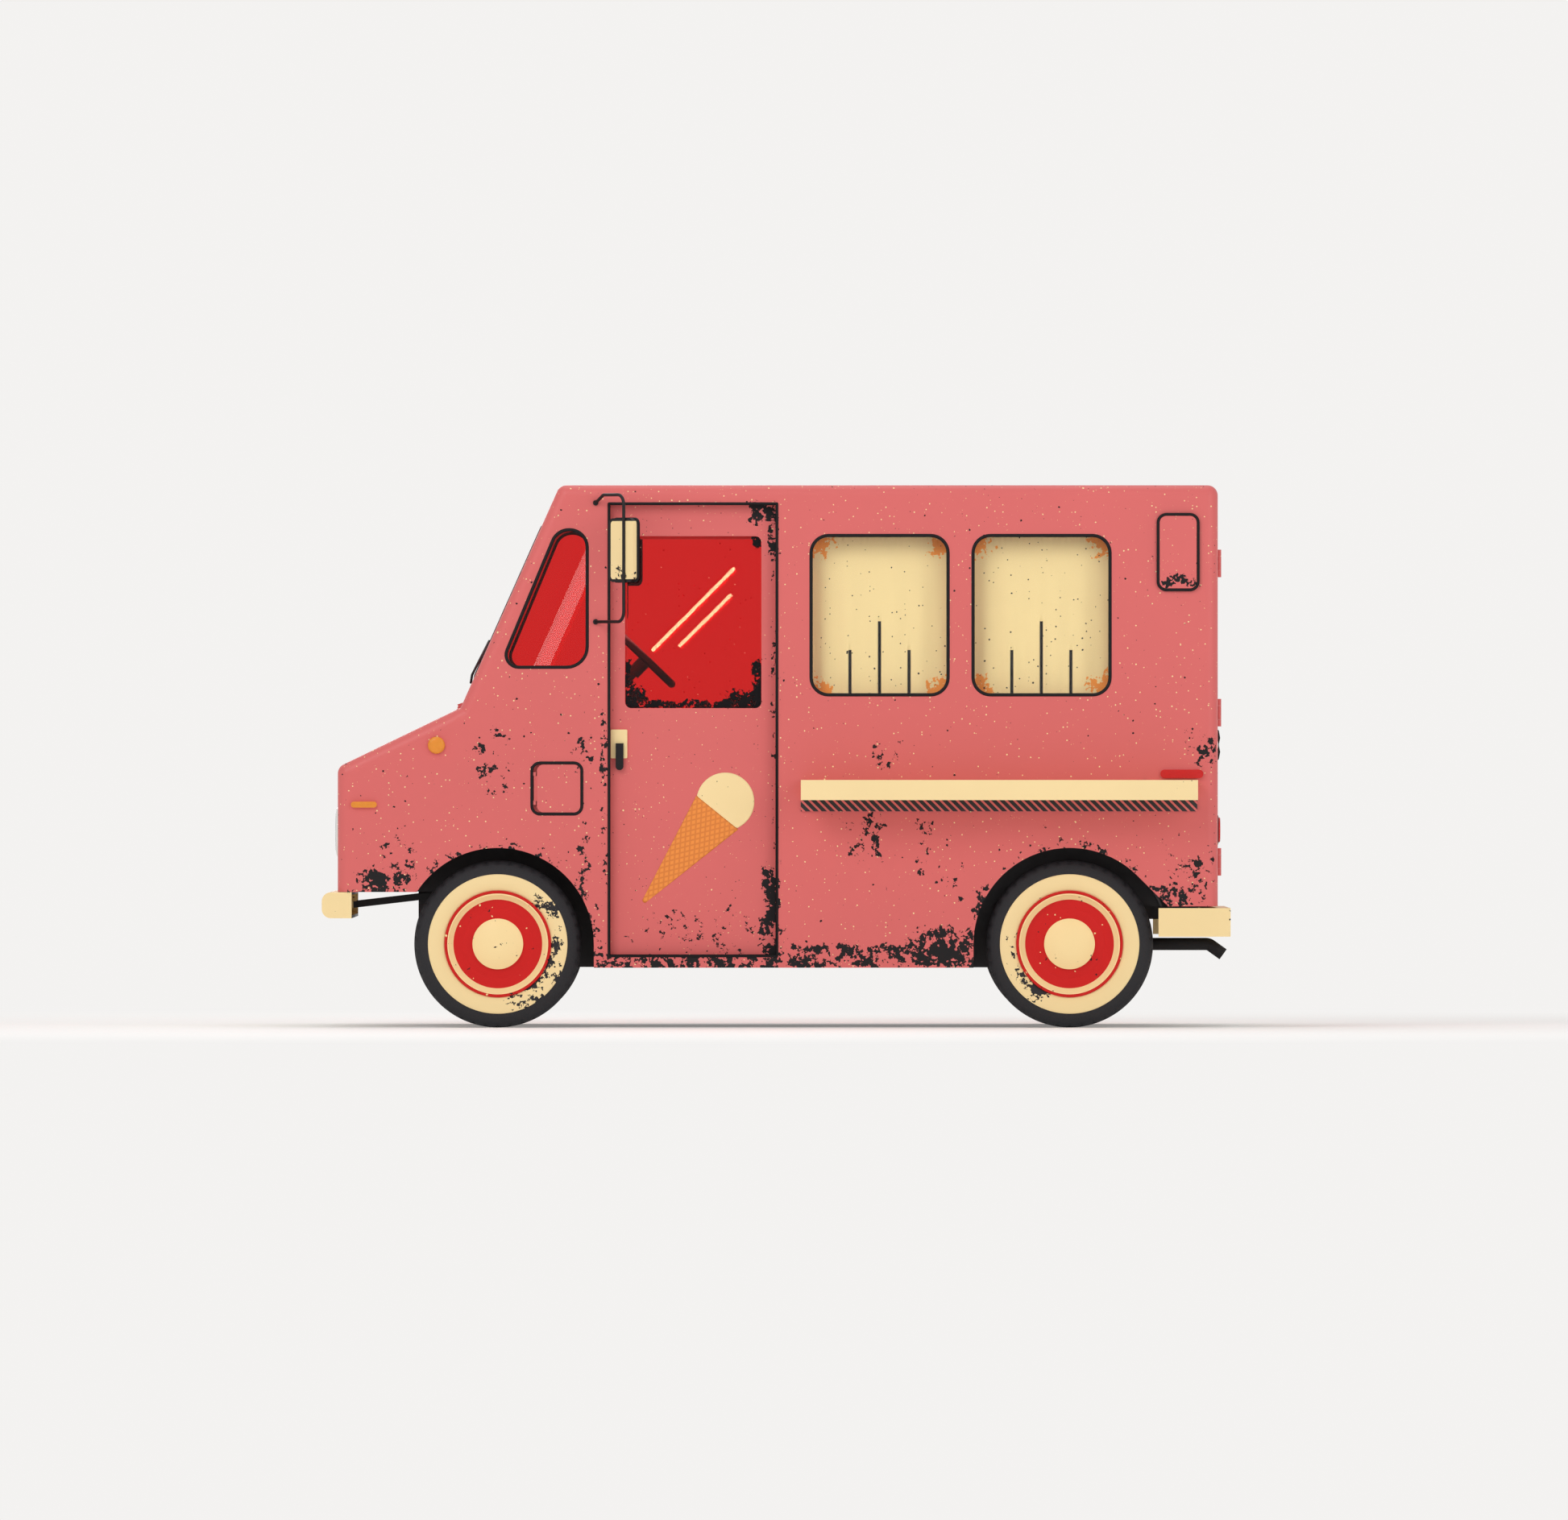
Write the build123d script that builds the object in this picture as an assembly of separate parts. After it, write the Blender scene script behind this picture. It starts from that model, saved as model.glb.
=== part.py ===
from build123d import *

import math
import os

# A small step van fitted out as an ice cream truck, in millimetres.
# +X points to the front, +Y to the vehicle's left and +Z up. The origin is on the ground,
# under the middle of the overall length and width.

# Side elevation of the body
NOSE_X = 1905          # front face of the nose
REAR_OVERHANG = 644    # from the rear axle back to the body's rear face
ROOF_Z = 2358          # top of the roof
HOOD_FRONT_Z = 1133    # where the hood's slope meets the nose
COWL_X = 1371          # foot of the windscreen
COWL_Z = 1391
SCREEN_TOP_X = 940     # where the screen's slope meets the roof
SILL_Z = 261           # underside of the body between the wheels
FRONT_SKIRT_Z = 590    # underside of the body ahead of the front wheels
REAR_SKIRT_Z = 528     # underside of the body behind the rear wheels

# Body shell
BODY_W = 1850          # across the side walls
WALL = 40              # a whole wall, from outer skin to lining
EDGE_R = 45            # rounding of the body's outer edges
INNER_R = 5            # rounding of the lining's corners
PANEL_GAP = 5          # between a moving panel and its frame
FIT = 0.3              # between a piece and its seat

# Axles and wheels
FRONT_AXLE_X = 1210
WHEELBASE = 2485
TYRE_R = 364
TYRE_W = 160
RIM_R = 232            # rim flange
SEAT_R = 214           # tyre bead seat
RIM_W = 126            # over the flanges
RIM_T = 12
RIM_LIP = 11           # rolled edge of the flange
FLANGE_T = 6
BEAD_H = 8             # tyre's wall swells out from the flange over this height
BEAD_SWELL = 9
CROWN_H = 5            # tread's middle above its edges
SHOULDER_H = 13        # tread's edges above the shoulder
SHOULDER_W = 17        # shoulder in from the tyre's full width
TREAD_W = 88
WALL_H = 78            # widest part of the tyre below its crown
WHEEL_INSET = 30       # tyre's outer face inside the body's side
ARCH_GAP = 54          # wheel arch around the tyre
HUBCAP_R = 110
HUBCAP_SINK = 2        # cap's crown behind the rim's face
HUBCAP_H = 23
HUBCAP_T = 12
DISC_R = 193           # wheel disc inside the rim
DISC_SINK = 36         # disc's rim behind the rim's face
DISC_DISH = 4
DISC_T = 16
DRUM_R = 150
DRUM_SINK = 4          # drum's back inside the rim
SPINDLE_R = 22
KINGPIN_INSET = 125    # kingpin inboard of the wheel's middle plane
KINGPIN_R = 14
EYE_R = 33             # axle's eye and the knuckle's ears about the kingpin
EAR_H = 34
PLATE_T = 8            # brake backing plate

# Wheel housings
HOUSING_LIP = 10       # the wall's arch stands this far inside the housing
HOUSING_T = 8
HOUSING_OPEN = 330     # half width of the opening for the axle in the inner plate
STEER_ROOM = 245       # front housing's inner face in from the tyre, for the steered wheel
REAR_ROOM = 35         # rear housing's inner face in from the tyre

# Floor and chassis
FLOOR_Z = 630
FLOOR_T = 40
RAIL_INSET = 95        # middle of each frame rail inside the front housing's inner face
RAIL_W = 70
RAIL_H = 120
RAIL_T = 8             # wall of the rail's channel
RAIL_FRONT_X = 1560
RAIL_TAIL = 79         # rails' rear ends ahead of the body's rear face
CROSS_H = 50           # cross-member depth, hung from the rails' tops
CROSS_END = (60, 30)   # first and last member in from the rails' ends
CROSS_MID_X = (420, -420)
CROSS_AXLE = (275, -285)   # members either side of the rear axle
AXLE_R = 40
DIFF_R = 120
SHAFT_R = 32
SPRING_T = 15          # one leaf
SPRING_LEAVES = (330, 255, 170)    # half lengths, longest on top

# Side doors, which slide back inside the walls
DOOR_FRONT_X = 729
DOOR_REAR_X = -6
DOOR_BOTTOM_Z = 310
DOOR_HEAD = 78         # opening below the roof
DOOR_T = 28
DOOR_LAP = 16          # door behind the edge of its opening
DOOR_STILE = (70, 72)  # door's window in from the rear and front edges of the opening
DOOR_WINDOW_LOW_Z = 1389
DOOR_TOP_RAIL = 143    # above the window
DOOR_WINDOW_R = 28
DOOR_STOP = 177        # open door's rear edge ahead of the rear wheel housing
RAIL_LIP = 4
RAIL_BASE = 12
STEP_D = 252           # depth of the step well inside the door
STEP_T = 12

# Windows
QUARTER_LOW_Z = 1561
QUARTER_HEAD = 188     # quarter window below the roof
QUARTER_POST = 86      # behind it, from the door's opening
QUARTER_PILLAR = (86, 69)      # ahead of it, from the screen's face, at its bottom and top
QUARTER_R = (60, 95)   # low front and low rear corners
QUARTER_TOP_FLAT = 3.5 # straight edge between the two high corners
SERVING_LOW_Z = 1441
SERVING_HEAD = 213     # serving windows below the roof
SERVING_POST = 97      # between the two
SERVING_ENDS = (140, 204)      # from the door's opening, and from the vent
SERVING_R = 81
GLASS_T = 6
SCREEN_FOOT = 170      # windscreen opening up the slope from the cowl
SCREEN_HEAD = 188.7    # and down the slope from the roof
SCREEN_POST = 60       # middle post between the panes
SCREEN_PILLAR = 95     # each side of the opening
SCREEN_R = 60

# Rear doors
REAR_POST = 305        # body's side to the opening
REAR_DOOR_LOW_Z = 560
REAR_DOOR_HEAD = 178   # opening below the roof
REAR_WINDOW_LOW_Z = 1420
REAR_WINDOW_STILE = 110    # window in from the seam and from the opening's side
REAR_WINDOW_RAIL = 140     # window below the opening's top
REAR_WINDOW_R = 50
HINGE_R = 9
HINGE_H = 60           # the door's own knuckle
HINGE_LEAF = 60
HINGE_T = 5
HINGE_END = 160        # end hinges in from the opening's bottom and top

# Nose
HOOD_INSET = 365       # hood's edge in from the body's side
HOOD_HINGE_INSET = 160
HOOD_HINGE_R = 6
GRILLE_END = 230       # grille's side to the headlamp's middle
GRILLE_Z = (700, 1000)
GRILLE_BARS = 7
GRILLE_BAR_H = 18
GRILLE_T = 20
GRILLE_RIM = 22
HEADLAMP_INSET = 365
HEADLAMP_Z = 850
HEADLAMP_R = 92
LAMP_PROUD = 14

# Small side pieces: x range, z range
FLAP_X = (846, 1059)
FLAP_Z = (931, 1149)
FLAP_R = 33
FLAP_T = 12
FLAP_POCKET = 22
FLAP_HINGE_R = 5
VENT_W = 172
VENT_H = 326
VENT_HEAD = 128        # vent below the roof
VENT_END = 87          # ahead of the rear face
VENT_R = 35
VENT_T = 14
TURN_LAMP_X = 1476
TURN_LAMP_Z = 1228
TURN_LAMP_R = 37.5
FRONT_MARKER_X = (1735, 1847)
FRONT_MARKER_Z = (957, 983)
REAR_MARKER_END = 64   # ahead of the rear face
REAR_MARKER_L = 186
REAR_MARKER_Z = (1085, 1122)
TAIL_LAMP_INSET = 135
TAIL_LAMP_Z = 860
TAIL_LAMP_R = 55
TAIL_LAMP_PROUD = 12

# Counter
COUNTER_ENDS = (90, 101)   # from the rear face, and from the door's opening
COUNTER_TOP_Z = 1077
COUNTER_FASCIA = 87
COUNTER_SKIRT = 49     # striped ledger below the fascia
COUNTER_DEPTH = 230
COUNTER_T = 20
LEDGER_T = 8
COUNTER_GUSSETS = 5

# Door handle
HANDLE_X = (647, 719)
HANDLE_Z = (1171, 1296)
HANDLE_T = 10
LEVER_W = 34
LEVER_Z = (1120, 1236)
LEVER_T = 12
LEVER_PROUD = 14

# Mirrors, with heights below the roof
MIRROR_X = 661
MIRROR_DROP = (422, 145)   # bottom and top of the head
MIRROR_W = 150
MIRROR_T = 36
MIRROR_R = 27
MIRROR_YAW = 45
MIRROR_OUT = 190       # bar's distance from the wall
MIRROR_BACK = 30       # head's middle inboard of the bar
MIRROR_FOOT_X = 784
MIRROR_FOOT_DROP = (594, 77)
MIRROR_BAR_DROP = 43
MIRROR_TUBE_R = 7
MIRROR_BEND_R = 45
MIRROR_KNEE = (750, 60)    # upper arm's bend: along X, and out from the wall
MIRROR_KNEE_R = 25
MIRROR_PAD_R = 12
MIRROR_PAD_T = 10

# Bumpers
FRONT_BUMPER_OUT = 69  # ahead of the nose
FRONT_BUMPER_D = 130
FRONT_BUMPER_Z = (476, 589)
FRONT_BUMPER_R = 40
REAR_BUMPER_OUT = 55   # behind the rear face
REAR_BUMPER_D = 313
REAR_BUMPER_Z = (396, 520)
REAR_STEP_D = 124
BUMPER_T = 12
TOW_HOLE_R = 10
IRON_T = 18
IRON_H = 28

# Exhaust
EXHAUST_R = 27
EXHAUST_Z = 362        # tail pipe behind the rear axle
EXHAUST_OUT = 165      # silencer and tail pipe outboard of the rail's middle
EXHAUST_BEND_R = 80
LEAD_RUN = (300, 480)  # front pipe's corners behind the engine's outlet
LEAD_IN = 250          # last corner ahead of the silencer
SILENCER_R = 68
SILENCER_L = 460
SILENCER_BACK = 172    # behind the midpoint of gearbox end and rear axle
TAIL_BEND_R = 70
TAIL_HOP = (330, 190, -150, -330)  # tail pipe's corners along X from the rear axle
TIP_BEND_R = 40
TIP_L = 90
TIP_DROP = 45
HANGER_W = 40
HANGER_T = 18
HANGER_BACK = 40       # rear hanger behind the axle

# Cab
FIREWALL_X = 1345
FIREWALL_T = 40
ENGINE_X = (940, 1430)
ENGINE_Y = 200
ENGINE_Z = (450, 960)
COVER_T = 20
COVER_GAP = 30         # engine cover around the engine
GEARBOX_L = 400
GEARBOX_R = 80
DASH_D = 170
DASH_Z = (1110, 1330)
DRIVER_INSET = 215     # seat's middle in from the step well
STEER_X = 567          # middle of the steering wheel
STEER_Z = 1602
STEER_TILT = 46        # wheel's plane, from the vertical
STEER_R = 170
STEER_TUBE_R = 17
STEER_SPOKE_R = 9
COLUMN_R = 20
STEER_HUB_R = 30
SEAT_X = (-110, 390)
SEAT_TOP_Z = 1180
SEAT_W = 460
SEAT_PAD = 110
SEAT_BACK_H = 520
SEAT_BACK_T = 90

# Load space
CURTAIN_INSET = 40     # middle of the curtains inside the door's track
CURTAIN_T = 8
CURTAIN_WAVE = 14
CURTAIN_FOLDS = 8
CURTAIN_SIDE = 22      # curtain past the window's edge
CURTAIN_HEM = 41       # below the window
CURTAIN_ROD_R = 8
CURTAIN_ROD_RISE = 33  # rod's middle above the window
FREEZER_L = 1000
FREEZER_D = 560
FREEZER_H = 750
FREEZER_LID = 45
FREEZER_GAP = 2        # beside the rear wheel housing
FREEZER_END = 219      # ahead of the rear face

# Fuel tank, on the right between the step well and the rear wheel
TANK_ENDS = (615, 74)  # ahead of the rear axle, and behind the door's opening
TANK_SIDES = (85, 40)  # inside the lining, and outboard of the rail
TANK_Z = (300, 560)

# Worked out from the sizes above
HALF_W = BODY_W / 2
INNER_Y = HALF_W - WALL
ROOF_SPLIT_Z = ROOF_Z - EDGE_R
REAR_AXLE_X = FRONT_AXLE_X - WHEELBASE
REAR_X = REAR_AXLE_X - REAR_OVERHANG
AXLE_Z = TYRE_R
ARCH_R = TYRE_R + ARCH_GAP
WHEEL_Y = HALF_W - WHEEL_INSET - TYRE_W / 2
KINGPIN_Y = WHEEL_Y - KINGPIN_INSET
EYE_H = 2 * AXLE_R
HOUSING_R = ARCH_R + HOUSING_LIP
FRONT_HOUSING_Y = WHEEL_Y - TYRE_W / 2 - STEER_ROOM
REAR_HOUSING_Y = WHEEL_Y - TYRE_W / 2 - REAR_ROOM
RAIL_Y = FRONT_HOUSING_Y - RAIL_INSET
RAIL_TOP_Z = FLOOR_Z - FLOOR_T
RAIL_LOW_Z = RAIL_TOP_Z - RAIL_H
RAIL_REAR_X = REAR_X + RAIL_TAIL
CROSS_X = (
    RAIL_FRONT_X - CROSS_END[0], *CROSS_MID_X, *[REAR_AXLE_X + shift for shift in CROSS_AXLE],
    RAIL_REAR_X + CROSS_END[1],
)
DOOR_TOP_Z = ROOF_Z - DOOR_HEAD
DOOR_OUT_Y = INNER_Y - PANEL_GAP
DOOR_IN_Y = DOOR_OUT_Y - DOOR_T
DOOR_WINDOW_X = (DOOR_REAR_X + DOOR_STILE[0], DOOR_FRONT_X - DOOR_STILE[1])
DOOR_WINDOW_Z = (DOOR_WINDOW_LOW_Z, DOOR_TOP_Z - DOOR_TOP_RAIL)
DOOR_TRAVEL = DOOR_REAR_X - DOOR_LAP - (REAR_AXLE_X + HOUSING_R + HOUSING_T) - DOOR_STOP
STEP_Y = DOOR_IN_Y - STEP_D
HOOD_SLOPE = math.atan2(COWL_Z - HOOD_FRONT_Z, NOSE_X - COWL_X)
HOOD_HALF_W = HALF_W - HOOD_INSET
HOOD_HINGE_Y = HOOD_HALF_W - HOOD_HINGE_INSET
HEADLAMP_Y = HALF_W - HEADLAMP_INSET
GRILLE_HALF_W = HEADLAMP_Y - GRILLE_END
SCREEN_SLOPE = math.atan2(ROOF_Z - COWL_Z, COWL_X - SCREEN_TOP_X)
SCREEN_S = (SCREEN_FOOT, math.hypot(ROOF_Z - COWL_Z, COWL_X - SCREEN_TOP_X) - SCREEN_HEAD)
QUARTER_Z = (QUARTER_LOW_Z, ROOF_Z - QUARTER_HEAD)
VENT_X = (REAR_X + VENT_END, REAR_X + VENT_END + VENT_W)
VENT_Z = (ROOF_Z - VENT_HEAD - VENT_H, ROOF_Z - VENT_HEAD)
SERVING_RUN = (VENT_X[1] + SERVING_ENDS[1], DOOR_REAR_X - SERVING_ENDS[0])
SERVING_MID = sum(SERVING_RUN) / 2
SERVING_X = (
    (SERVING_MID + SERVING_POST / 2, SERVING_RUN[1]),
    (SERVING_RUN[0], SERVING_MID - SERVING_POST / 2),
)
SERVING_Z = (SERVING_LOW_Z, ROOF_Z - SERVING_HEAD)
REAR_DOOR_Y = HALF_W - REAR_POST
REAR_DOOR_Z = (REAR_DOOR_LOW_Z, ROOF_Z - REAR_DOOR_HEAD)
REAR_WINDOW_Y = (REAR_WINDOW_STILE, REAR_DOOR_Y - REAR_WINDOW_STILE)
REAR_WINDOW_Z = (REAR_WINDOW_LOW_Z, REAR_DOOR_Z[1] - REAR_WINDOW_RAIL)
REAR_HINGE_Z = (REAR_DOOR_Z[0] + HINGE_END, sum(REAR_DOOR_Z) / 2, REAR_DOOR_Z[1] - HINGE_END)
REAR_MARKER_X = (REAR_X + REAR_MARKER_END, REAR_X + REAR_MARKER_END + REAR_MARKER_L)
TAIL_LAMP_Y = HALF_W - TAIL_LAMP_INSET
COUNTER_X = (REAR_X + COUNTER_ENDS[0], DOOR_REAR_X - COUNTER_ENDS[1])
MIRROR_Z = tuple(ROOF_Z - drop for drop in MIRROR_DROP)
MIRROR_FOOT_Z = tuple(ROOF_Z - drop for drop in MIRROR_FOOT_DROP)
MIRROR_BAR_TOP_Z = ROOF_Z - MIRROR_BAR_DROP
FRONT_BUMPER_X = (NOSE_X + FRONT_BUMPER_OUT - FRONT_BUMPER_D, NOSE_X + FRONT_BUMPER_OUT)
REAR_BUMPER_X = (REAR_X - REAR_BUMPER_OUT, REAR_X - REAR_BUMPER_OUT + REAR_BUMPER_D)
EXHAUST_Y = RAIL_Y + EXHAUST_OUT
SILENCER_X = (ENGINE_X[0] + REAR_AXLE_X) / 2 - SILENCER_BACK
DRIVER_Y = STEP_Y - DRIVER_INSET
CURTAIN_Y = DOOR_IN_Y - CURTAIN_INSET
CURTAIN_ROD_Z = SERVING_Z[1] + CURTAIN_ROD_RISE
FREEZER_X = (REAR_X + FREEZER_END, REAR_X + FREEZER_END + FREEZER_L)
FREEZER_SIDE_Y = HOUSING_T + FREEZER_GAP - REAR_HOUSING_Y
FREEZER_Y = (FREEZER_SIDE_Y, FREEZER_SIDE_Y + FREEZER_D)
TANK_X = (REAR_AXLE_X + TANK_ENDS[0], DOOR_REAR_X - TANK_ENDS[1])
TANK_Y = (TANK_SIDES[0] - INNER_Y, -RAIL_Y - RAIL_W / 2 - TANK_SIDES[1])
FAR = 4000             # past everything, for cutting blocks


# Helpers

def block(x, y, z):
    """A box from its (low, high) pairs in X, Y and Z."""
    mid = [(low + high) / 2 for low, high in (x, y, z)]
    return Pos(*mid) * Box(*[high - low for low, high in (x, y, z)])


def slab(outline, y):
    """An outline drawn in X and Z, thickened from y[0] to y[1]."""
    return extrude(Plane.XZ.offset(-y[0]) * outline, amount=y[0] - y[1])


def rounded(x, z, radius):
    """A rectangle with rounded corners from its (low, high) pairs in X and Z."""
    shape = RectangleRounded(x[1] - x[0], z[1] - z[0], radius)
    return Pos((x[0] + x[1]) / 2, (z[0] + z[1]) / 2) * shape


def polygon(*points):
    return make_face(Polyline(*points, close=True))


def rod(start, end, radius):
    """A round bar between two points."""
    axis = Vector(*end) - Vector(*start)
    bar = Cylinder(radius, axis.length, align=(Align.CENTER, Align.CENTER, Align.MIN))
    return Plane(origin=start, z_dir=axis) * bar


def across(x, z, y, radius):
    """A round bar along Y."""
    return rod((x, y[0], z), (x, y[1], z), radius)


def tube(points, bends, radius):
    """A round bar along straight runs joined by tangent bends."""
    path = FilletPolyline(*points, radius=bends)
    section = Plane(origin=path @ 0, z_dir=path % 0) * Circle(radius)
    return sweep(section, path=path)


def other_side(shape):
    """The same piece on the vehicle's right."""
    return mirror(shape, about=Plane.XZ)


def pair(shape):
    return [shape, other_side(shape)]


# Body shell

def screen_point(up, inward):
    """A point up the windscreen's slope from the cowl and inward from its face, in X and Z."""
    x = COWL_X - up * math.cos(SCREEN_SLOPE) - inward * math.sin(SCREEN_SLOPE)
    return x, COWL_Z + up * math.sin(SCREEN_SLOPE) - inward * math.cos(SCREEN_SLOPE)


def hood_point(forward, inward):
    """A point down the hood's slope from the cowl and inward from its face, in X and Z."""
    x = COWL_X + forward * math.cos(HOOD_SLOPE) - inward * math.sin(HOOD_SLOPE)
    return x, COWL_Z - forward * math.sin(HOOD_SLOPE) - inward * math.cos(HOOD_SLOPE)


def body_block(outline, inset):
    """A profile across the body's width, all but its underside rounded, drawn in by an inset."""
    if inset:
        outline = offset(outline, -inset, kind=Kind.INTERSECTION)
    low = outline.bounding_box().min.Y
    solid = slab(outline, (inset - HALF_W, HALF_W - inset))
    return solid, low


def cabin(inset):
    """The box of the cab and load space, the screen's plane running on down inside the nose."""
    base = SILL_Z - 2 * WALL
    foot = COWL_X + (COWL_Z - base) / math.tan(SCREEN_SLOPE)
    outline = polygon((REAR_X, base), (foot, base), (SCREEN_TOP_X, ROOF_Z), (REAR_X, ROOF_Z))
    solid, low = body_block(outline, inset)
    upper = solid.edges().filter_by(lambda e: e.center().Z > low + 1)
    return fillet(upper, max(EDGE_R - inset, INNER_R))


def nose(inset):
    """The short nose ahead of the screen, running back inside the cabin."""
    base = SILL_Z - 2 * WALL
    back = hood_point(-3 * WALL, 0)
    outline = polygon((back[0], base), (NOSE_X, base), (NOSE_X, HOOD_FRONT_Z), back)
    solid, low = body_block(outline, inset)
    rear = solid.bounding_box().min.X
    outer = solid.edges().filter_by(lambda e: e.center().Z > low + 1 and e.center().X > rear + 1)
    return fillet(outer, max(EDGE_R - inset, INNER_R))


def arch_outline(axle_x, radius, low):
    """Wheel arch in X and Z: a circle about the axle with straight legs below it."""
    legs = Pos(axle_x, (AXLE_Z + low) / 2) * Rectangle(2 * radius, AXLE_Z - low)
    return Pos(axle_x, AXLE_Z) * Circle(radius) + legs


def rear_flare():
    """The rear arch runs off its circle at 45 degrees to the skirt."""
    lean = math.radians(45)
    top = (REAR_AXLE_X - ARCH_R * math.sin(lean), AXLE_Z + ARCH_R * math.cos(lean))
    drop = top[1] - REAR_SKIRT_Z
    return polygon(top, (top[0] - drop, REAR_SKIRT_Z), (REAR_AXLE_X, REAR_SKIRT_Z))


def body_shell():
    """The whole hollow body before it is cut into panels, and the space inside it."""
    outer = cabin(0) + nose(0)
    inner = cabin(WALL) + nose(WALL)
    shell = outer - inner
    shell -= block((-FAR, FAR), (-FAR, FAR), (-FAR, SILL_Z))
    shell -= block((FRONT_AXLE_X, FAR), (-FAR, FAR), (-FAR, FRONT_SKIRT_Z))
    shell -= block((-FAR, REAR_AXLE_X), (-FAR, FAR), (-FAR, REAR_SKIRT_Z))
    for axle_x in (FRONT_AXLE_X, REAR_AXLE_X):
        shell -= slab(arch_outline(axle_x, ARCH_R, 0), (-FAR, FAR))
    shell -= slab(rear_flare(), (-FAR, FAR))
    return shell, inner


SHELL, INSIDE = body_shell()

ROOF_ZONE = block((-FAR, FAR), (-FAR, FAR), (ROOF_SPLIT_Z, FAR))
REAR_ZONE = block((-FAR, REAR_X + EDGE_R), (-FAR, FAR), (-FAR, ROOF_SPLIT_Z))
NOSE_ZONE = block((NOSE_X - EDGE_R, FAR), (-FAR, FAR), (-FAR, FAR))
SCREEN_ZONE = slab(
    polygon(screen_point(-FAR / 4, -FIT), screen_point(FAR / 2, -FIT),
            screen_point(FAR / 2, EDGE_R), screen_point(-FAR / 4, EDGE_R)),
    (-FAR, FAR),
) - NOSE_ZONE - block((-FAR, FAR), (-FAR, FAR), (-FAR, hood_point(0, 2 * WALL)[1]))


def hood_zone(half_w, gap):
    """The block that the hood is cut from, less a gap at its back and front."""
    far_front = (NOSE_X - EDGE_R - COWL_X) / math.cos(HOOD_SLOPE)
    foot = screen_point(-2 * WALL, -gap)
    head = screen_point(2 * WALL, -gap)
    front = NOSE_X - EDGE_R - gap
    top = hood_point(far_front, -2 * WALL)[1]
    outline = polygon(head, foot, (front, hood_point(far_front, 2 * WALL)[1]), (front, top + FAR / 4))
    return slab(outline, (-half_w, half_w))


def side_wall():
    """The left side between roof, rear, screen and nose, with its openings."""
    wall = SHELL & block((-FAR, FAR), (0, FAR), (-FAR, FAR))
    wall = wall - ROOF_ZONE - REAR_ZONE - NOSE_ZONE - SCREEN_ZONE
    wall -= hood_zone(HOOD_HALF_W + PANEL_GAP, 0)
    through = (INNER_Y - WALL, HALF_W + WALL)
    wall -= slab(quarter_outline(0), through)
    wall -= block((DOOR_REAR_X, DOOR_FRONT_X), through, (DOOR_BOTTOM_Z, DOOR_TOP_Z))
    for window_x in SERVING_X:
        wall -= slab(rounded(window_x, SERVING_Z, SERVING_R), through)
    return wall


def screen_x(z):
    """The windscreen's face at a height."""
    return COWL_X - (z - COWL_Z) / math.tan(SCREEN_SLOPE)


def quarter_outline(shrink):
    """Quarter window in X and Z: upright behind, leaning with the screen ahead."""
    low, high = QUARTER_Z
    back = DOOR_FRONT_X + QUARTER_POST
    front_low, front_high = [screen_x(z) - post for z, post in zip(QUARTER_Z, QUARTER_PILLAR)]
    corners = ((front_low, low), (back, low), (back, high), (front_high, high))
    lean = math.atan2(front_low - front_high, high - low)
    top_r = (front_high - back - QUARTER_TOP_FLAT) / (1 + math.tan(math.pi / 4 - lean / 2))
    outline = polygon(*corners)
    for place, radius in zip(corners, (*QUARTER_R, top_r, top_r)):
        corner = outline.vertices().sort_by_distance((*place, 0))[0]
        outline = fillet(corner, radius)
    return offset(outline, -shrink) if shrink else outline


WALL_LEFT = side_wall()
AHEAD_OF_DOOR = block((DOOR_FRONT_X, FAR), (-FAR, FAR), (-FAR, FAR))


def load_side():
    return WALL_LEFT - AHEAD_OF_DOOR


def cab_side():
    return WALL_LEFT & AHEAD_OF_DOOR


def flap_hinge_x():
    return FLAP_X[1] - PANEL_GAP - FLAP_HINGE_R


def flap_knuckle_z():
    """Low, middle pair and high ends of the flap's hinge barrel."""
    mid = sum(FLAP_Z) / 2
    reach = (FLAP_Z[1] - FLAP_Z[0]) / 4
    return mid - reach, mid + reach


def cab_side_with_pocket():
    """The left cab side has the filler flap's pocket, with a lug above and below the hinge."""
    low, high = flap_knuckle_z()
    pocket = slab(rounded(FLAP_X, FLAP_Z, FLAP_R), (HALF_W - FLAP_POCKET, HALF_W + WALL))
    side = cab_side() - pocket
    x = (flap_hinge_x() - FLAP_HINGE_R, FLAP_X[1])
    y = (HALF_W - FLAP_POCKET, HALF_W - FIT)
    for z in ((low - FLAP_R / 2, low - FIT), (high + FIT, high + FLAP_R / 2)):
        side += block(x, y, z)
    return side


def filler_flap():
    low, high = flap_knuckle_z()
    x = (FLAP_X[0] + PANEL_GAP, FLAP_X[1] - 2 * PANEL_GAP - 2 * FLAP_HINGE_R)
    z = (FLAP_Z[0] + PANEL_GAP, FLAP_Z[1] - PANEL_GAP)
    leaf = slab(rounded(x, z, FLAP_R - PANEL_GAP), (HALF_W - FLAP_T, HALF_W))
    axis_y = HALF_W - FLAP_T / 2
    barrel = rod((flap_hinge_x(), axis_y, low), (flap_hinge_x(), axis_y, high), FLAP_HINGE_R)
    arm_y = (axis_y - FLAP_HINGE_R / 2, axis_y + FLAP_HINGE_R / 2)
    arm = block((x[1] - PANEL_GAP, flap_hinge_x()), arm_y, (low, high))
    return leaf + arm + barrel


def roof():
    return SHELL & ROOF_ZONE


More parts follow.
